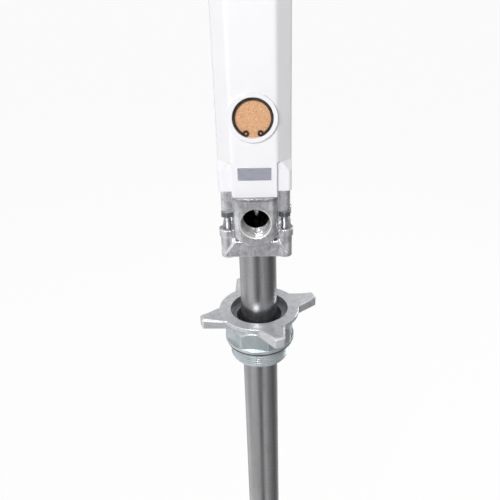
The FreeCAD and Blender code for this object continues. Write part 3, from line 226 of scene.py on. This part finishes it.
def castAluminium():
    look = {"light": (0.76, 0.76, 0.79), "mid": (0.48, 0.48, 0.51), "dark": (0.22, 0.22, 0.24),
            "wornAndLit": (0.94, 0.94, 0.95), "pit": (0.16, 0.16, 0.17), "machined": (0.84, 0.84, 0.84),
            "thread": (0.62, 0.62, 0.62), "chamberShade": (0.03, 0.03, 0.03),
            "grain": 0.7, "lump": 5.0, "cloud": 15.0, "flow": 3.5, "wave": 8.0, "edge": 1.6,
            "skinDepth": 0.45, "waveDepth": 2.3, "rough": (0.17, 0.30), "metallic": 0.8}
    part = {"portRise": 145.0, "portRadius": 14.05, "portBack": -12.0, "threadFront": -36.2,
            "chamberRadius": 19.6, "chamber": (112.0, 161.0), "flange": 165.5, "flangeFront": -33.0,
            "web": (110.0, 128.5), "webBack": -27.0, "webTop": (126.3, 128.8), "webTopBack": -27.6,
            "bevelNormal": (0.79, -0.34, 0.51)}
    cast = Shader("castAluminium")
    place = cast.place()
    x, y, z = cast.split(place)
    across, along, upward = cast.split(cast.faceNormal())

    rise = z - part["portRise"]
    machined = (x * x + rise * rise).math("SQRT").below(part["portRadius"]) * y.below(part["portBack"])
    threaded = machined * y.above(part["threadFront"])
    chamber = (x * x + y * y).below(part["chamberRadius"] ** 2) * z.between(*part["chamber"])
    webTop = upward.above(0.7) * z.between(*part["webTop"]) * y.below(part["webTopBack"])
    ledge = z.above(part["flange"]) * y.below(part["flangeFront"]) + webTop  # level faces under the housing and the boss: nothing rubs here, and they get painted shade
    # painted highlight: the web's slanted faces, picked by their normal, take the pale tone and are made
    # less metallic
    slant = part["bevelNormal"]
    bevel = (across.math("ABSOLUTE") * slant[0] + along * slant[1] + upward * slant[2]).above(0.97)
    bevel = bevel * z.between(*part["web"]) * y.below(part["webBack"])

    grain = cast.noise(place, look["grain"], 3.0, 0.65)
    lump = cast.noise(place, look["lump"], 4.0, 0.6)
    cloud = cast.noise(place, look["cloud"], 4.0, 0.6)
    flow = cast.noise(cast.stretch(place, 1.0, 1.0, 0.15), look["flow"], 3.0)  # runs of metal up the die
    wave = cast.noise(cast.stretch(place, 1.0, 1.0, 0.22), look["wave"], 2.0, 0.4)  # faces not quite flat
    soft = cast.softEdge(look["edge"])
    # edges lightened in the pale tone: rubbed bright, and also a painted highlight where the rounded edges
    # catch light; less of it on the level faces
    wearAndHighlight = cast.flatness(soft).ramp(0.985, 0.93) * (1 - machined) * (1 - ledge * 0.8)

    skin = cast.mix(cloud.ramp(0.36, 0.66), look["light"], look["mid"])
    skin = cast.mix(lump.ramp(0.48, 0.72, 0.0, 0.45), skin, look["dark"])
    skin = cast.mix(flow.ramp(0.55, 0.75, 0.0, 0.35), skin, look["wornAndLit"])
    skin = cast.mix(grain.ramp(0.58, 0.74, 0.0, 0.4), skin, look["pit"])
    skin = cast.mix(wearAndHighlight * lump.ramp(0.62, 0.40, 0.5, 1.0), skin, look["wornAndLit"])
    skin = cast.mix(bevel * 0.85, skin, look["wornAndLit"])
    colour = cast.mix(machined, skin, look["machined"])
    # painted shade: the threaded part of the bore is a darker grey than the machined mouth
    colour = cast.mix(threaded, colour, look["thread"])
    # painted shade: the chamber inside the casting is near black
    colour = cast.mix(chamber, colour, look["chamberShade"])
    # painted shade: the level faces under the housing and the outlet boss are darkened
    colour = cast.mix(ledge * 0.6, colour, look["dark"])

    rugged = (grain * 0.4 + lump * 0.35 + flow * 0.25) * (1 - machined)
    normal = cast.bump(rugged, look["skinDepth"], soft)
    rough = cloud.ramp(0.3, 0.7, *look["rough"]) * (1 - machined) + machined * 0.3 + chamber * 0.4
    cast.set({
        "Base Color": colour,
        "Roughness": rough - wearAndHighlight * 0.1,
        "Metallic": look["metallic"] - machined * 0.4 + threaded * 0.5 - bevel * 0.45,
        "Normal": cast.bump(cloud * 0.3 + wave * 0.7, look["waveDepth"], normal),
    })
    return cast


def turnedMetal(name, colour, dark, rough=(0.22, 0.34), ring=0.5, depth=0.02):
    turned = Shader(name, {"Metallic": 1.0})
    place = turned.place()
    rings = turned.noise(turned.stretch(place, 0.05, 0.05, 1.0), ring, 3.0)  # marks of the lathe
    cloud = turned.noise(place, 11.0, 4.0, 0.6)
    turned.set({
        "Base Color": turned.mix(cloud.ramp(0.35, 0.75), colour, dark),
        "Roughness": cloud.ramp(0.3, 0.7, *rough),
        "Normal": turned.bump(rings, depth, turned.softEdge(0.4)),
    })
    return turned


def tubeSteel():
    look = {"bright": (0.44, 0.44, 0.45), "streaked": (0.27, 0.27, 0.28), "dark": (0.27, 0.27, 0.28),
            "smeared": (0.22, 0.21, 0.20), "streak": 0.6, "reflectionBand": 9.0, "smear": 24.0, "depth": 0.02,
            "edge": 0.3, "rough": (0.2, 0.34), "metallic": 0.92}
    steel = Shader("tubeSteel", {"Metallic": look["metallic"]})
    place = steel.place()
    streak = steel.noise(steel.stretch(place, 1.0, 1.0, 0.010), look["streak"], 4.0, 0.7)
    # painted reflection: long soft light and dark bands down the tube
    reflectionBand = steel.noise(steel.stretch(place, 1.0, 1.0, 0.03), look["reflectionBand"], 2.0, 0.5)
    smear = steel.noise(place, look["smear"], 4.0, 0.6)
    shade = steel.mix(reflectionBand.ramp(0.30, 0.70), look["bright"], look["dark"])
    shade = steel.mix(streak.ramp(0.40, 0.68, 0.0, 0.5), shade, look["streaked"])
    shade = steel.mix(smear.ramp(0.5, 0.8, 0.0, 0.3), shade, look["smeared"])
    steel.set({
        "Base Color": shade,
        "Roughness": smear.ramp(0.3, 0.75, *look["rough"]),
        "Normal": steel.bump(streak, look["depth"], steel.softEdge(look["edge"])),
    })
    return steel


def starNutMetal():
    look = {"skin": (0.70, 0.71, 0.74), "dark": (0.50, 0.51, 0.54), "wornAndLit": (0.90, 0.90, 0.90),
            "pit": (0.2, 0.2, 0.21), "well": (0.06, 0.06, 0.065), "wellRadius": 28.727, "wellTop": 34.0,
            "grain": 0.6, "lump": 6.0, "rub": 4.0, "edge": 1.2, "skinDepth": 0.2, "pitch": 1.5,
            "markDepth": 0.35, "rough": (0.32, 0.44), "metallic": 0.7}
    metal = Shader("starNutMetal", {"Metallic": look["metallic"]})
    place = metal.place()
    x, y, z = metal.split(place)
    grain = metal.noise(place, look["grain"], 3.0, 0.6)
    lump = metal.noise(place, look["lump"], 4.0, 0.6)
    rub = metal.noise(place, look["rub"], 3.0)
    soft = metal.softEdge(look["edge"])
    inWell = (x * x + y * y).below(look["wellRadius"] ** 2)
    # edges lightened in the pale tone: rubbed bright, and also a painted highlight where the rounded edges
    # catch light; none in the well
    wearAndHighlight = metal.flatness(soft).ramp(0.985, 0.92) * rub.ramp(0.3, 0.5, 0.3, 1.0) * (1 - inWell)
    skin = metal.mix(lump.ramp(0.38, 0.72), look["skin"], look["dark"])
    skin = metal.mix(grain.ramp(0.58, 0.74, 0.0, 0.4), skin, look["pit"])
    # painted shade: the well round the tube is darkened to near black
    skin = metal.mix(inWell * 0.7, skin, look["well"])
    marks = metal.grooves(z, x.math("ARCTAN2", y), look["pitch"]) * inWell * z.below(look["wellTop"])
    normal = metal.bump(grain * 0.4 + lump * 0.6, look["skinDepth"], soft)
    metal.set({
        "Base Color": metal.mix(wearAndHighlight, skin, look["wornAndLit"]),
        "Roughness": lump.ramp(0.3, 0.7, *look["rough"]) - wearAndHighlight * 0.12,
        "Normal": metal.bump(marks, look["markDepth"], normal),
    })
    return metal


def zincSteel(name, zinc, grey, warm):
    look = {"wornAndLit": (0.78, 0.82, 0.84), "cloud": 13.0, "spot": 2.2, "turned": 0.4, "depth": 0.04,
            "edge": 0.7, "rough": (0.24, 0.38), "metallic": 0.62}
    steel = Shader(name, {"Metallic": look["metallic"]})
    place = steel.place()
    cloud = steel.noise(place, look["cloud"], 4.0, 0.6)
    turned = steel.noise(steel.stretch(place, 0.12, 0.12, 1.0), look["turned"], 3.0)
    spots = steel.noise(place, look["spot"], 3.0, 0.6)
    soft = steel.softEdge(look["edge"])
    shade = steel.mix(cloud.ramp(0.38, 0.68), zinc, grey)
    shade = steel.mix(spots.ramp(0.55, 0.75, 0.0, 0.4), shade, warm)
    steel.set({
        # edges lightened in the pale tone: rubbed zinc, and also a painted highlight where the edges catch
        # light
        "Base Color": steel.mix(steel.flatness(soft).ramp(0.985, 0.93, 0.0, 0.8), shade, look["wornAndLit"]),
        "Roughness": cloud.ramp(0.3, 0.7, *look["rough"]),
        "Normal": steel.bump(turned, look["depth"], soft),
    })
    return steel


def blackRubber():
    look = {"colour": (0.018, 0.018, 0.019), "dusty": 2.2, "dust": 9.0, "pore": 0.5, "poreDepth": 0.03,
            "edge": 0.3, "rough": (0.55, 0.72), "shine": 0.4}
    black = Shader("blackRubber", {"Metallic": 0.0, "Specular IOR Level": look["shine"]})
    place = black.place()
    dust = black.noise(place, look["dust"], 4.0, 0.6)
    pore = black.noise(place, look["pore"], 2.0)
    dusty = tuple(look["dusty"] * value for value in look["colour"])
    black.set({
        "Base Color": black.mix(dust.ramp(0.4, 0.8), look["colour"], dusty),
        "Roughness": dust.ramp(0.3, 0.7, *look["rough"]),
        "Normal": black.bump(pore, look["poreDepth"], black.softEdge(look["edge"])),
    })
    return black


def whitePlastic():
    look = {"light": (0.80, 0.79, 0.74), "dark": (0.72, 0.71, 0.66), "cloud": 8.0, "ring": 0.5,
            "ringDepth": 0.02, "edge": 0.3, "rough": (0.4, 0.52), "glow": 0.1}
    plastic = Shader("whitePtfe", {"Metallic": 0.0, "Subsurface Weight": look["glow"]})
    place = plastic.place()
    cloud = plastic.noise(place, look["cloud"], 3.0)
    rings = plastic.noise(plastic.stretch(place, 0.05, 0.05, 1.0), look["ring"], 2.0)
    plastic.set({
        "Base Color": plastic.mix(cloud.ramp(0.35, 0.7), look["light"], look["dark"]),
        "Roughness": cloud.ramp(0.3, 0.7, *look["rough"]),
        "Normal": plastic.bump(rings, look["ringDepth"], plastic.softEdge(look["edge"])),
    })
    return plastic


def sinteredBronze():
    look = {"tan": (0.68, 0.37, 0.195), "light": (0.84, 0.52, 0.31), "dark": (0.40, 0.19, 0.09),
            "ball": 0.5, "ballDepth": 0.18, "tint": 1.3, "rough": (0.5, 0.68), "metallic": 0.2,
            "shine": 0.3}
    bronze = Shader("sinteredBronze", {"Metallic": look["metallic"], "Specular IOR Level": look["shine"]})
    place = bronze.place()
    cells = {"Vector": place, "Scale": 1 / look["ball"]}
    gap = bronze.add("ShaderNodeTexVoronoi", {"feature": "F1"}, cells)["Distance"]
    tint = bronze.noise(place, look["tint"], 3.0, 0.6)
    shade = bronze.mix(tint.ramp(0.35, 0.65), look["tan"], look["light"])
    bronze.set({
        "Base Color": bronze.mix(gap.ramp(0.42, 0.80, 0.0, 0.75), shade, look["dark"]),
        "Roughness": tint.ramp(0.3, 0.7, *look["rough"]),
        "Normal": bronze.bump(1 - gap, look["ballDepth"]),
    })
    return bronze


def darkSpringSteel():
    look = {"dark": (0.040, 0.029, 0.024), "light": (0.085, 0.065, 0.056), "cloud": 4.0, "depth": 0.02,
            "edge": 0.3, "rough": (0.3, 0.42), "metallic": 0.7}
    steel = Shader("darkSpringSteel", {"Metallic": look["metallic"]})
    cloud = steel.noise(steel.place(), look["cloud"], 3.0)
    steel.set({
        "Base Color": steel.mix(cloud.ramp(0.35, 0.7), look["dark"], look["light"]),
        "Roughness": cloud.ramp(0.3, 0.7, *look["rough"]),
        "Normal": steel.bump(cloud, look["depth"], steel.softEdge(look["edge"])),
    })
    return steel


def plateAluminium():
    look = {"bright": (0.62, 0.63, 0.72), "dull": (0.47, 0.48, 0.56), "brush": 0.28, "brushDepth": 0.02,
            "cloud": 7.0, "edge": 0.25, "rough": (0.36, 0.44), "metallic": 0.9}
    plate = Shader("plateAluminium", {"Metallic": look["metallic"]})
    place = plate.place()
    brush = plate.noise(plate.stretch(place, 0.03, 1.0, 1.0), look["brush"], 4.0, 0.7)
    cloud = plate.noise(place, look["cloud"], 2.0)
    plate.set({
        "Base Color": plate.mix(brush.ramp(0.35, 0.65), look["bright"], look["dull"]),
        "Roughness": cloud.ramp(0.3, 0.7, *look["rough"]),
        "Normal": plate.bump(brush, look["brushDepth"], plate.softEdge(look["edge"])),
    })
    return plate


def screwSteel():
    look = {"light": (0.50, 0.51, 0.53), "dark": (0.24, 0.24, 0.26), "shaded": (0.12, 0.12, 0.13),
            "cloud": 3.0, "edge": 0.3, "rough": (0.26, 0.42), "pitch": 1.0, "threadDepth": 0.25,
            "thread": (100.0, 147.0), "nut": (146.5, 152.5)}
    steel = Shader("screwSteel", {"Metallic": 1.0})
    place = steel.place()
    height = steel.split(place)[2]
    cloud = steel.noise(place, look["cloud"], 4.0, 0.6)
    thread = steel.grooves(height, 0.0, look["pitch"]) * height.between(*look["thread"])
    shade = steel.mix(cloud.ramp(0.35, 0.7), look["light"], look["dark"])
    steel.set({
        "Base Color": steel.mix(height.between(*look["nut"]) * 0.6, shade, look["shaded"]),
        "Roughness": cloud.ramp(0.3, 0.7, *look["rough"]),
        "Normal": steel.bump(thread, look["threadDepth"], steel.softEdge(look["edge"])),
    })
    return steel


finishes = {
    "white_paint": whitePaint(),
    "cast_aluminium": castAluminium(),
    "tube_steel": tubeSteel(),
    "star_nut_metal": starNutMetal(),
    "zinc_steel": zincSteel("zincSteel", (0.53, 0.59, 0.61), (0.39, 0.44, 0.46), (0.60, 0.60, 0.55)),
    # a darker copy of the zinc finish for the tie nuts: painted shade under the flange
    "dark_zinc": zincSteel("shadedZinc", (0.17, 0.18, 0.20), (0.09, 0.095, 0.105), (0.20, 0.19, 0.17)),
    "black_rubber": blackRubber(),
    "ptfe": whitePlastic(),
    "sintered_bronze": sinteredBronze(),
    "black_steel": darkSpringSteel(),
    "plate_aluminium": plateAluminium(),
    "screw_steel": screwSteel(),
    "brass": turnedMetal("turnedBrass", (0.70, 0.49, 0.19), (0.55, 0.36, 0.13)),
    "bronze": turnedMetal("turnedBronze", (0.58, 0.34, 0.15), (0.42, 0.23, 0.10), (0.3, 0.42)),
    "rod_chrome": turnedMetal("rodChrome", (0.78, 0.78, 0.79), (0.66, 0.66, 0.67), (0.06, 0.14), 0.6, 0.006),
    "turned_aluminium": turnedMetal("turnedAluminium", (0.70, 0.70, 0.71), (0.58, 0.58, 0.60), (0.28, 0.38)),
}
print("finishes ready:", len(finishes))

for part in frame["record"]["subparts"]:
    nodes[part["node"]].data.materials[0] = finishes[part["material_slot"]].material
# the tie nuts take the darker zinc copy, as painted shade under the flange
nodes["tie_nuts"].data.materials[0] = finishes["dark_zinc"].material
print("finishes given to", len(nodes), "nodes")


def activate(piece):
    bpy.ops.object.select_all(action="DESELECT")
    piece.select_set(True)
    bpy.context.view_layer.objects.active = piece


def editAll(piece):
    activate(piece)
    bpy.ops.object.mode_set(mode="EDIT")
    bpy.ops.mesh.select_all(action="SELECT")


def copyOf(node, name):  # a merged copy of a CAD node, free to be reshaped
    activate(nodes[node])
    bpy.ops.object.duplicate()
    piece = bpy.context.active_object
    piece.name = name
    piece.parent = None
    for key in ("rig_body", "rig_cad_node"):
        del piece[key]
    editAll(piece)
    bpy.ops.mesh.customdata_custom_splitnormals_clear()
    bpy.ops.mesh.remove_doubles(threshold=1e-6)
    bpy.ops.mesh.select_all(action="DESELECT")
    bpy.ops.object.mode_set(mode="OBJECT")
    return piece


def selectPoints(piece, test):  # test is given each point's place in millimetres
    bpy.ops.object.mode_set(mode="OBJECT")
    for face in piece.data.polygons:
        face.select = False
    for edge in piece.data.edges:
        edge.select = False
    for point in piece.data.vertices:
        point.select = test(point.co / mm)
    bpy.ops.object.mode_set(mode="EDIT")
    bpy.ops.mesh.select_mode(type="VERT")


def combine(piece, tool, operation):  # the tool's shape is joined to the piece, cut from it or kept of it
    activate(piece)
    change = piece.modifiers.new("change", "BOOLEAN")
    change.operation = operation
    change.object = tool
    bpy.ops.object.modifier_apply(modifier="change")
    bpy.data.objects.remove(tool)


def mergeAndSmooth(piece, degrees):
    editAll(piece)
    bpy.ops.mesh.remove_doubles(threshold=1e-6)
    bpy.ops.object.mode_set(mode="OBJECT")
    bpy.ops.object.shade_smooth_by_angle(angle=math.radians(degrees))


def windThread(name, thread):  # a helical ridge round Z, from thread["low"] up
    root, crest, pitch = thread["root"], thread["crest"], thread["pitch"]
    sink = 0.05 if crest > root else -0.05  # how far the ridge's foot goes into the metal
    middle = (root - sink + crest) / 2
    start = thread["low"] + pitch / 2
    centre = (middle * mm, 0, start * mm)
    bpy.ops.object.select_all(action="DESELECT")
    bpy.ops.mesh.primitive_plane_add(size=mm, location=centre, rotation=(math.pi / 2, 0, 0))
    ridge = bpy.context.active_object
    ridge.name = name
    ridge.scale = (abs(crest - root) + abs(sink), pitch * 0.97, 1)
    bpy.ops.object.transform_apply(location=True, rotation=True, scale=True)
    selectPoints(ridge, lambda spot: (spot.x > middle) == (crest > root))
    bpy.ops.transform.resize(value=(1, 1, thread["crestWidth"] / pitch), center_override=centre)
    bpy.ops.mesh.select_all(action="SELECT")
    bpy.ops.mesh.delete(type="ONLY_FACE")
    bpy.ops.object.mode_set(mode="OBJECT")
    winding = ridge.modifiers.new("winding", "SCREW")
    winding.axis = "Z"
    winding.screw_offset = pitch * mm
    winding.iterations = thread["turns"]
    winding.steps = winding.render_steps = thread["steps"]
    bpy.ops.object.modifier_apply(modifier="winding")
    editAll(ridge)
    bpy.ops.mesh.remove_doubles(threshold=1e-6)
    bpy.ops.mesh.select_all(action="SELECT")
    bpy.ops.mesh.fill_holes(sides=6)
    bpy.ops.mesh.select_all(action="SELECT")
    bpy.ops.mesh.normals_make_consistent(inside=False)
    bpy.ops.object.mode_set(mode="OBJECT")
    bpy.ops.object.shade_smooth_by_angle(angle=math.radians(30))
    return ridge


def finish(piece, body, slot, replaced=None):
    if not piece.data.materials:
        piece.data.materials.append(finishes[slot].material)
    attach(piece, body)
    if replaced:
        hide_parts(replaced)


# The adapter: the stub of a copy goes down to the root of its pipe thread, the octagon's top gets a deeper
# turned chamfer, and the thread is wound on the stub.
def makeAdapter():
    thread = {"crest": 29.8, "root": 28.35, "pitch": 2.309, "low": -17.6, "turns": 7, "steps": 96,
              "crestWidth": 0.35}
    stub = {"top": -0.4, "inside": 27.5}
    cone = {"top": 31.2, "flare": 4 / 5.5, "height": 50, "rise": 25, "sides": 160}
    adapter = copyOf("adapter_body", "adapter")
    selectPoints(adapter, lambda spot: spot.z < stub["top"] and spot.xy.length > stub["inside"])
    scale = thread["root"] / thread["crest"]
    bpy.ops.transform.resize(value=(scale, scale, 1), center_override=(0, 0, 0))
    bpy.ops.object.mode_set(mode="OBJECT")
    bottom = cone["top"] + cone["height"] * cone["flare"]
    middle = (0, 0, (cone["rise"] - cone["height"] / 2) * mm)
    bpy.ops.mesh.primitive_cone_add(vertices=cone["sides"], radius1=bottom * mm, radius2=cone["top"] * mm,
                                    depth=cone["height"] * mm, location=middle)
    combine(adapter, bpy.context.active_object, "INTERSECT")
    mergeAndSmooth(adapter, 32)
    finish(adapter, "adapter", "zinc_steel", "adapter_body")
    finish(windThread("adapter_thread", thread), "adapter", "zinc_steel")
    print("adapter and its thread ready")


def addWeb(casting):  # the front web, wider and with a narrower bevel than the solid's
    web = {"base": 29.5, "top": 19.5, "foot": 3.5, "height": 19.0, "front": 33.05, "back": 25.0,
           "bevel": 2.1, "bottom": 108.52}
    shoulder = web["bottom"] + web["foot"]
    high = web["bottom"] + web["height"]
    middle = (0, -(web["front"] + web["back"]) / 2, (shoulder + high) / 2)
    bpy.ops.mesh.primitive_cube_add(size=mm, location=[value * mm for value in middle])
    rib = bpy.context.active_object
    rib.scale = (2 * web["base"], web["front"] - web["back"], high - shoulder)
    bpy.ops.object.transform_apply(location=True, rotation=True, scale=True)
    selectPoints(rib, lambda spot: spot.z > high - 0.1)
    bpy.ops.transform.resize(value=(web["top"] / web["base"], 1, 1), center_override=(0, 0, 0))
    selectPoints(rib, lambda spot: spot.z < shoulder + 0.1)
    bpy.ops.mesh.extrude_region_move(TRANSFORM_OT_translate={"value": (0, 0, -web["foot"] * mm)})
    selectPoints(rib, lambda spot: spot.y < 0.1 - web["front"])
    inset = [1 - web["bevel"] / web["base"], 1, 1 - 2 * web["bevel"] / web["height"]]
    bpy.ops.transform.resize(value=inset, center_override=(0, 0, (web["bottom"] + high) / 2 * mm))
    bpy.ops.object.mode_set(mode="OBJECT")
    combine(casting, rib, "UNION")


def roundCorners(casting):  # the port block's two upright front edges
    block = {"half": 19.7, "front": 38.0, "round": 8.5, "low": 127.6, "high": 169.0, "spare": 2.0,
             "sides": 128}
    depth = block["high"] - block["low"]
    middle = (block["high"] + block["low"]) / 2
    reach = block["round"] + block["spare"]
    for side in (-1, 1):
        centre = (side * (block["half"] - block["round"]), block["round"] - block["front"], middle)
        outside = (centre[0] + side * reach / 2, centre[1] - reach / 2, middle)
        bpy.ops.mesh.primitive_cube_add(size=mm, location=[value * mm for value in outside])
        corner = bpy.context.active_object
        corner.scale = (reach, reach, depth)
        bpy.ops.mesh.primitive_cylinder_add(vertices=block["sides"], radius=block["round"] * mm,
                                            depth=(depth + 2 * block["spare"]) * mm,
                                            location=[value * mm for value in centre])
        combine(corner, bpy.context.active_object, "DIFFERENCE")
        combine(casting, corner, "DIFFERENCE")


# The casting: the outlet's bore in a copy is opened to the root of the thread, the web and the rounded
# corners follow, and the thread is wound inside.
def makeCasting():
    thread = {"crest": 12.06, "root": 13.16, "pitch": 1.814, "low": 0, "turns": 9, "steps": 72,
              "crestWidth": 0.3}
    port = {"rise": 145.0, "start": -36.1, "back": -12.0}
    casting = copyOf("outlet_body", "casting")

    def onBore(spot):
        radius = math.hypot(spot.x, spot.z - port["rise"])
        return spot.y < port["back"] and abs(radius - thread["crest"]) < 0.05

    selectPoints(casting, onBore)
    scale = thread["root"] / thread["crest"]
    bpy.ops.transform.resize(value=(scale, 1, scale), center_override=(0, 0, port["rise"] * mm))
    bpy.ops.object.mode_set(mode="OBJECT")
    addWeb(casting)
    roundCorners(casting)
    mergeAndSmooth(casting, 32)
    finish(casting, "pump", "cast_aluminium", "outlet_body")
    winding = windThread("outlet_thread", thread)
    winding.rotation_euler = (-math.pi / 2, 0, 0)
    winding.location = (0, port["start"] * mm, port["rise"] * mm)
    bpy.ops.object.transform_apply(location=True, rotation=True, scale=True)
    finish(winding, "pump", "cast_aluminium")
    print("casting and its outlet thread ready")


makeAdapter()
makeCasting()


# Floor, camera and lamps.

def buildFloor():  # mirrored: how bright metal sees the floor, by degrees to the left or right
    look = {"size": 60.0, "sink": 0.0002, "white": (0.93, 0.93, 0.93), "rough": 0.9, "glow": 0.94,
            "mirrored": ((-90, 0.8), (-60, 1.0), (-40, 0.9), (-20, 0.5), (-6, 0.17), (5, 0.22), (16, 0.75),
                         (30, 0.8), (45, 0.45), (70, 0.26), (90, 0.15))}
    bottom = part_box("suction_strainer")[0].z - look["sink"]
    bpy.ops.mesh.primitive_plane_add(size=look["size"], location=(0, 0, bottom))
    floor = bpy.context.active_object
    floor.name = "floor"
    ground = Shader("paleFloor", {"Roughness": look["rough"], "Base Color": look["white"]})
    rays = ground.add("ShaderNodeLightPath")
    x, y = ground.split(ground.add("ShaderNodeTexCoord")["Object"])[:2]
    turn = x.math("ARCTAN2", y.math("ABSOLUTE")).ramp(-math.pi / 2, math.pi / 2)
    stops = [((angle + 90) / 180, (bright,) * 3) for angle, bright in look["mirrored"]]
    mirrored = ground.add("ShaderNodeValToRGB", {"stops": stops}, [turn])["Color"]
    glossy = rays["Is Glossy Ray"]
    seen = rays["Is Camera Ray"].math("MAXIMUM", rays["Is Transmission Ray"]) * look["glow"]
    shade = ground.mix(glossy, (1, 1, 1), mirrored)
    glow = ground.add("ShaderNodeEmission", None, {"Color": shade, "Strength": 1.0})["Emission"]
    lit = Wire(ground, ground.principled.outputs["BSDF"])
    blend = ground.add("ShaderNodeMixShader", None, [seen.math("MAXIMUM", glossy), lit, glow])["Shader"]
    ground.link(ground.tree.nodes["Material Output"].inputs["Surface"], blend)
    floor.data.materials.append(ground.material)


def buildCamera():
    view = {"spot": (14.3, -495.9, 360.5), "yaw": -2.483, "pitch": 27.698, "roll": -1.895, "lens": 42.35,
            "sensor": 36, "near": 0.01, "far": 100}
    yaw, pitch, roll = (math.radians(view[key]) for key in ("yaw", "pitch", "roll"))
    forward = Vector((math.sin(yaw) * math.cos(pitch), math.cos(yaw) * math.cos(pitch), -math.sin(pitch)))
    side = Vector((math.cos(yaw), -math.sin(yaw), 0))
    up = side.cross(forward)
    right = side * math.cos(roll) + up * math.sin(roll)
    top = up * math.cos(roll) - side * math.sin(roll)
    camera = bpy.data.objects.new("camera", bpy.data.cameras.new("camera"))
    camera.data.lens, camera.data.sensor_width = view["lens"], view["sensor"]
    camera.data.clip_start, camera.data.clip_end = view["near"], view["far"]
    bpy.context.collection.objects.link(camera)
    turn = Matrix((right, top, -forward)).transposed().to_4x4()
    camera.matrix_world = Matrix.Translation(Vector(view["spot"]) * mm) @ turn
    bpy.context.scene.camera = camera


def addLamp(name, spot, target, side, power):  # a square lamp at spot that looks at target
    bpy.ops.object.light_add(type="AREA", location=spot)
    lamp = bpy.context.active_object
    lamp.name = name
    lamp.data.shape = "RECTANGLE"
    lamp.data.size = lamp.data.size_y = side
    lamp.data.energy = power
    lamp.rotation_euler = (Vector(target) - Vector(spot)).to_track_quat("-Z", "Y").to_euler()


def buildLight():  # the lamps, and a world that is white to the eye and softer on the shade's side
    addLamp("keyLamp", (-0.50, -1.81, 1.15), (0, 0, 0.18), 0.8, 34.5)
    addLamp("topLamp", (-0.2, 0.5, 2.0), (0, 0, 0.1), 1.2, 9)
    addLamp("backLamp", (1.35, 1.3, 0.9), (0, 0, 0.15), 0.9, 16)
    look = {"ambient": 0.40, "shadeSide": 0.25, "offWhite": 0.03, "from": (-0.52, -0.55, 0.66)}
    world = bpy.data.worlds.new("studio")
    bpy.context.scene.world = world
    world.use_nodes = True
    sky = Graph(world.node_tree)
    rays = sky.add("ShaderNodeLightPath")
    shown = rays["Is Camera Ray"].math("MAXIMUM", rays["Is Transmission Ray"])
    bright = shown.math("MAXIMUM", rays["Is Glossy Ray"])
    towards = sky.dot(sky.add("ShaderNodeTexCoord")["Generated"], look["from"])
    side = towards.ramp(-0.6, 0.7, look["shadeSide"], 1.0).math("MAXIMUM", shown)
    strength = side * (bright * (1 - look["ambient"]) + look["ambient"]) - shown * look["offWhite"]
    background = sky.tree.nodes["Background"]
    sky.link(background.inputs["Strength"], strength)
    sky.link(background.inputs["Color"], (1, 1, 1))


buildFloor()
buildCamera()
buildLight()
bpy.context.scene.view_settings.view_transform = "Standard"
print("floor, camera and lamps ready")
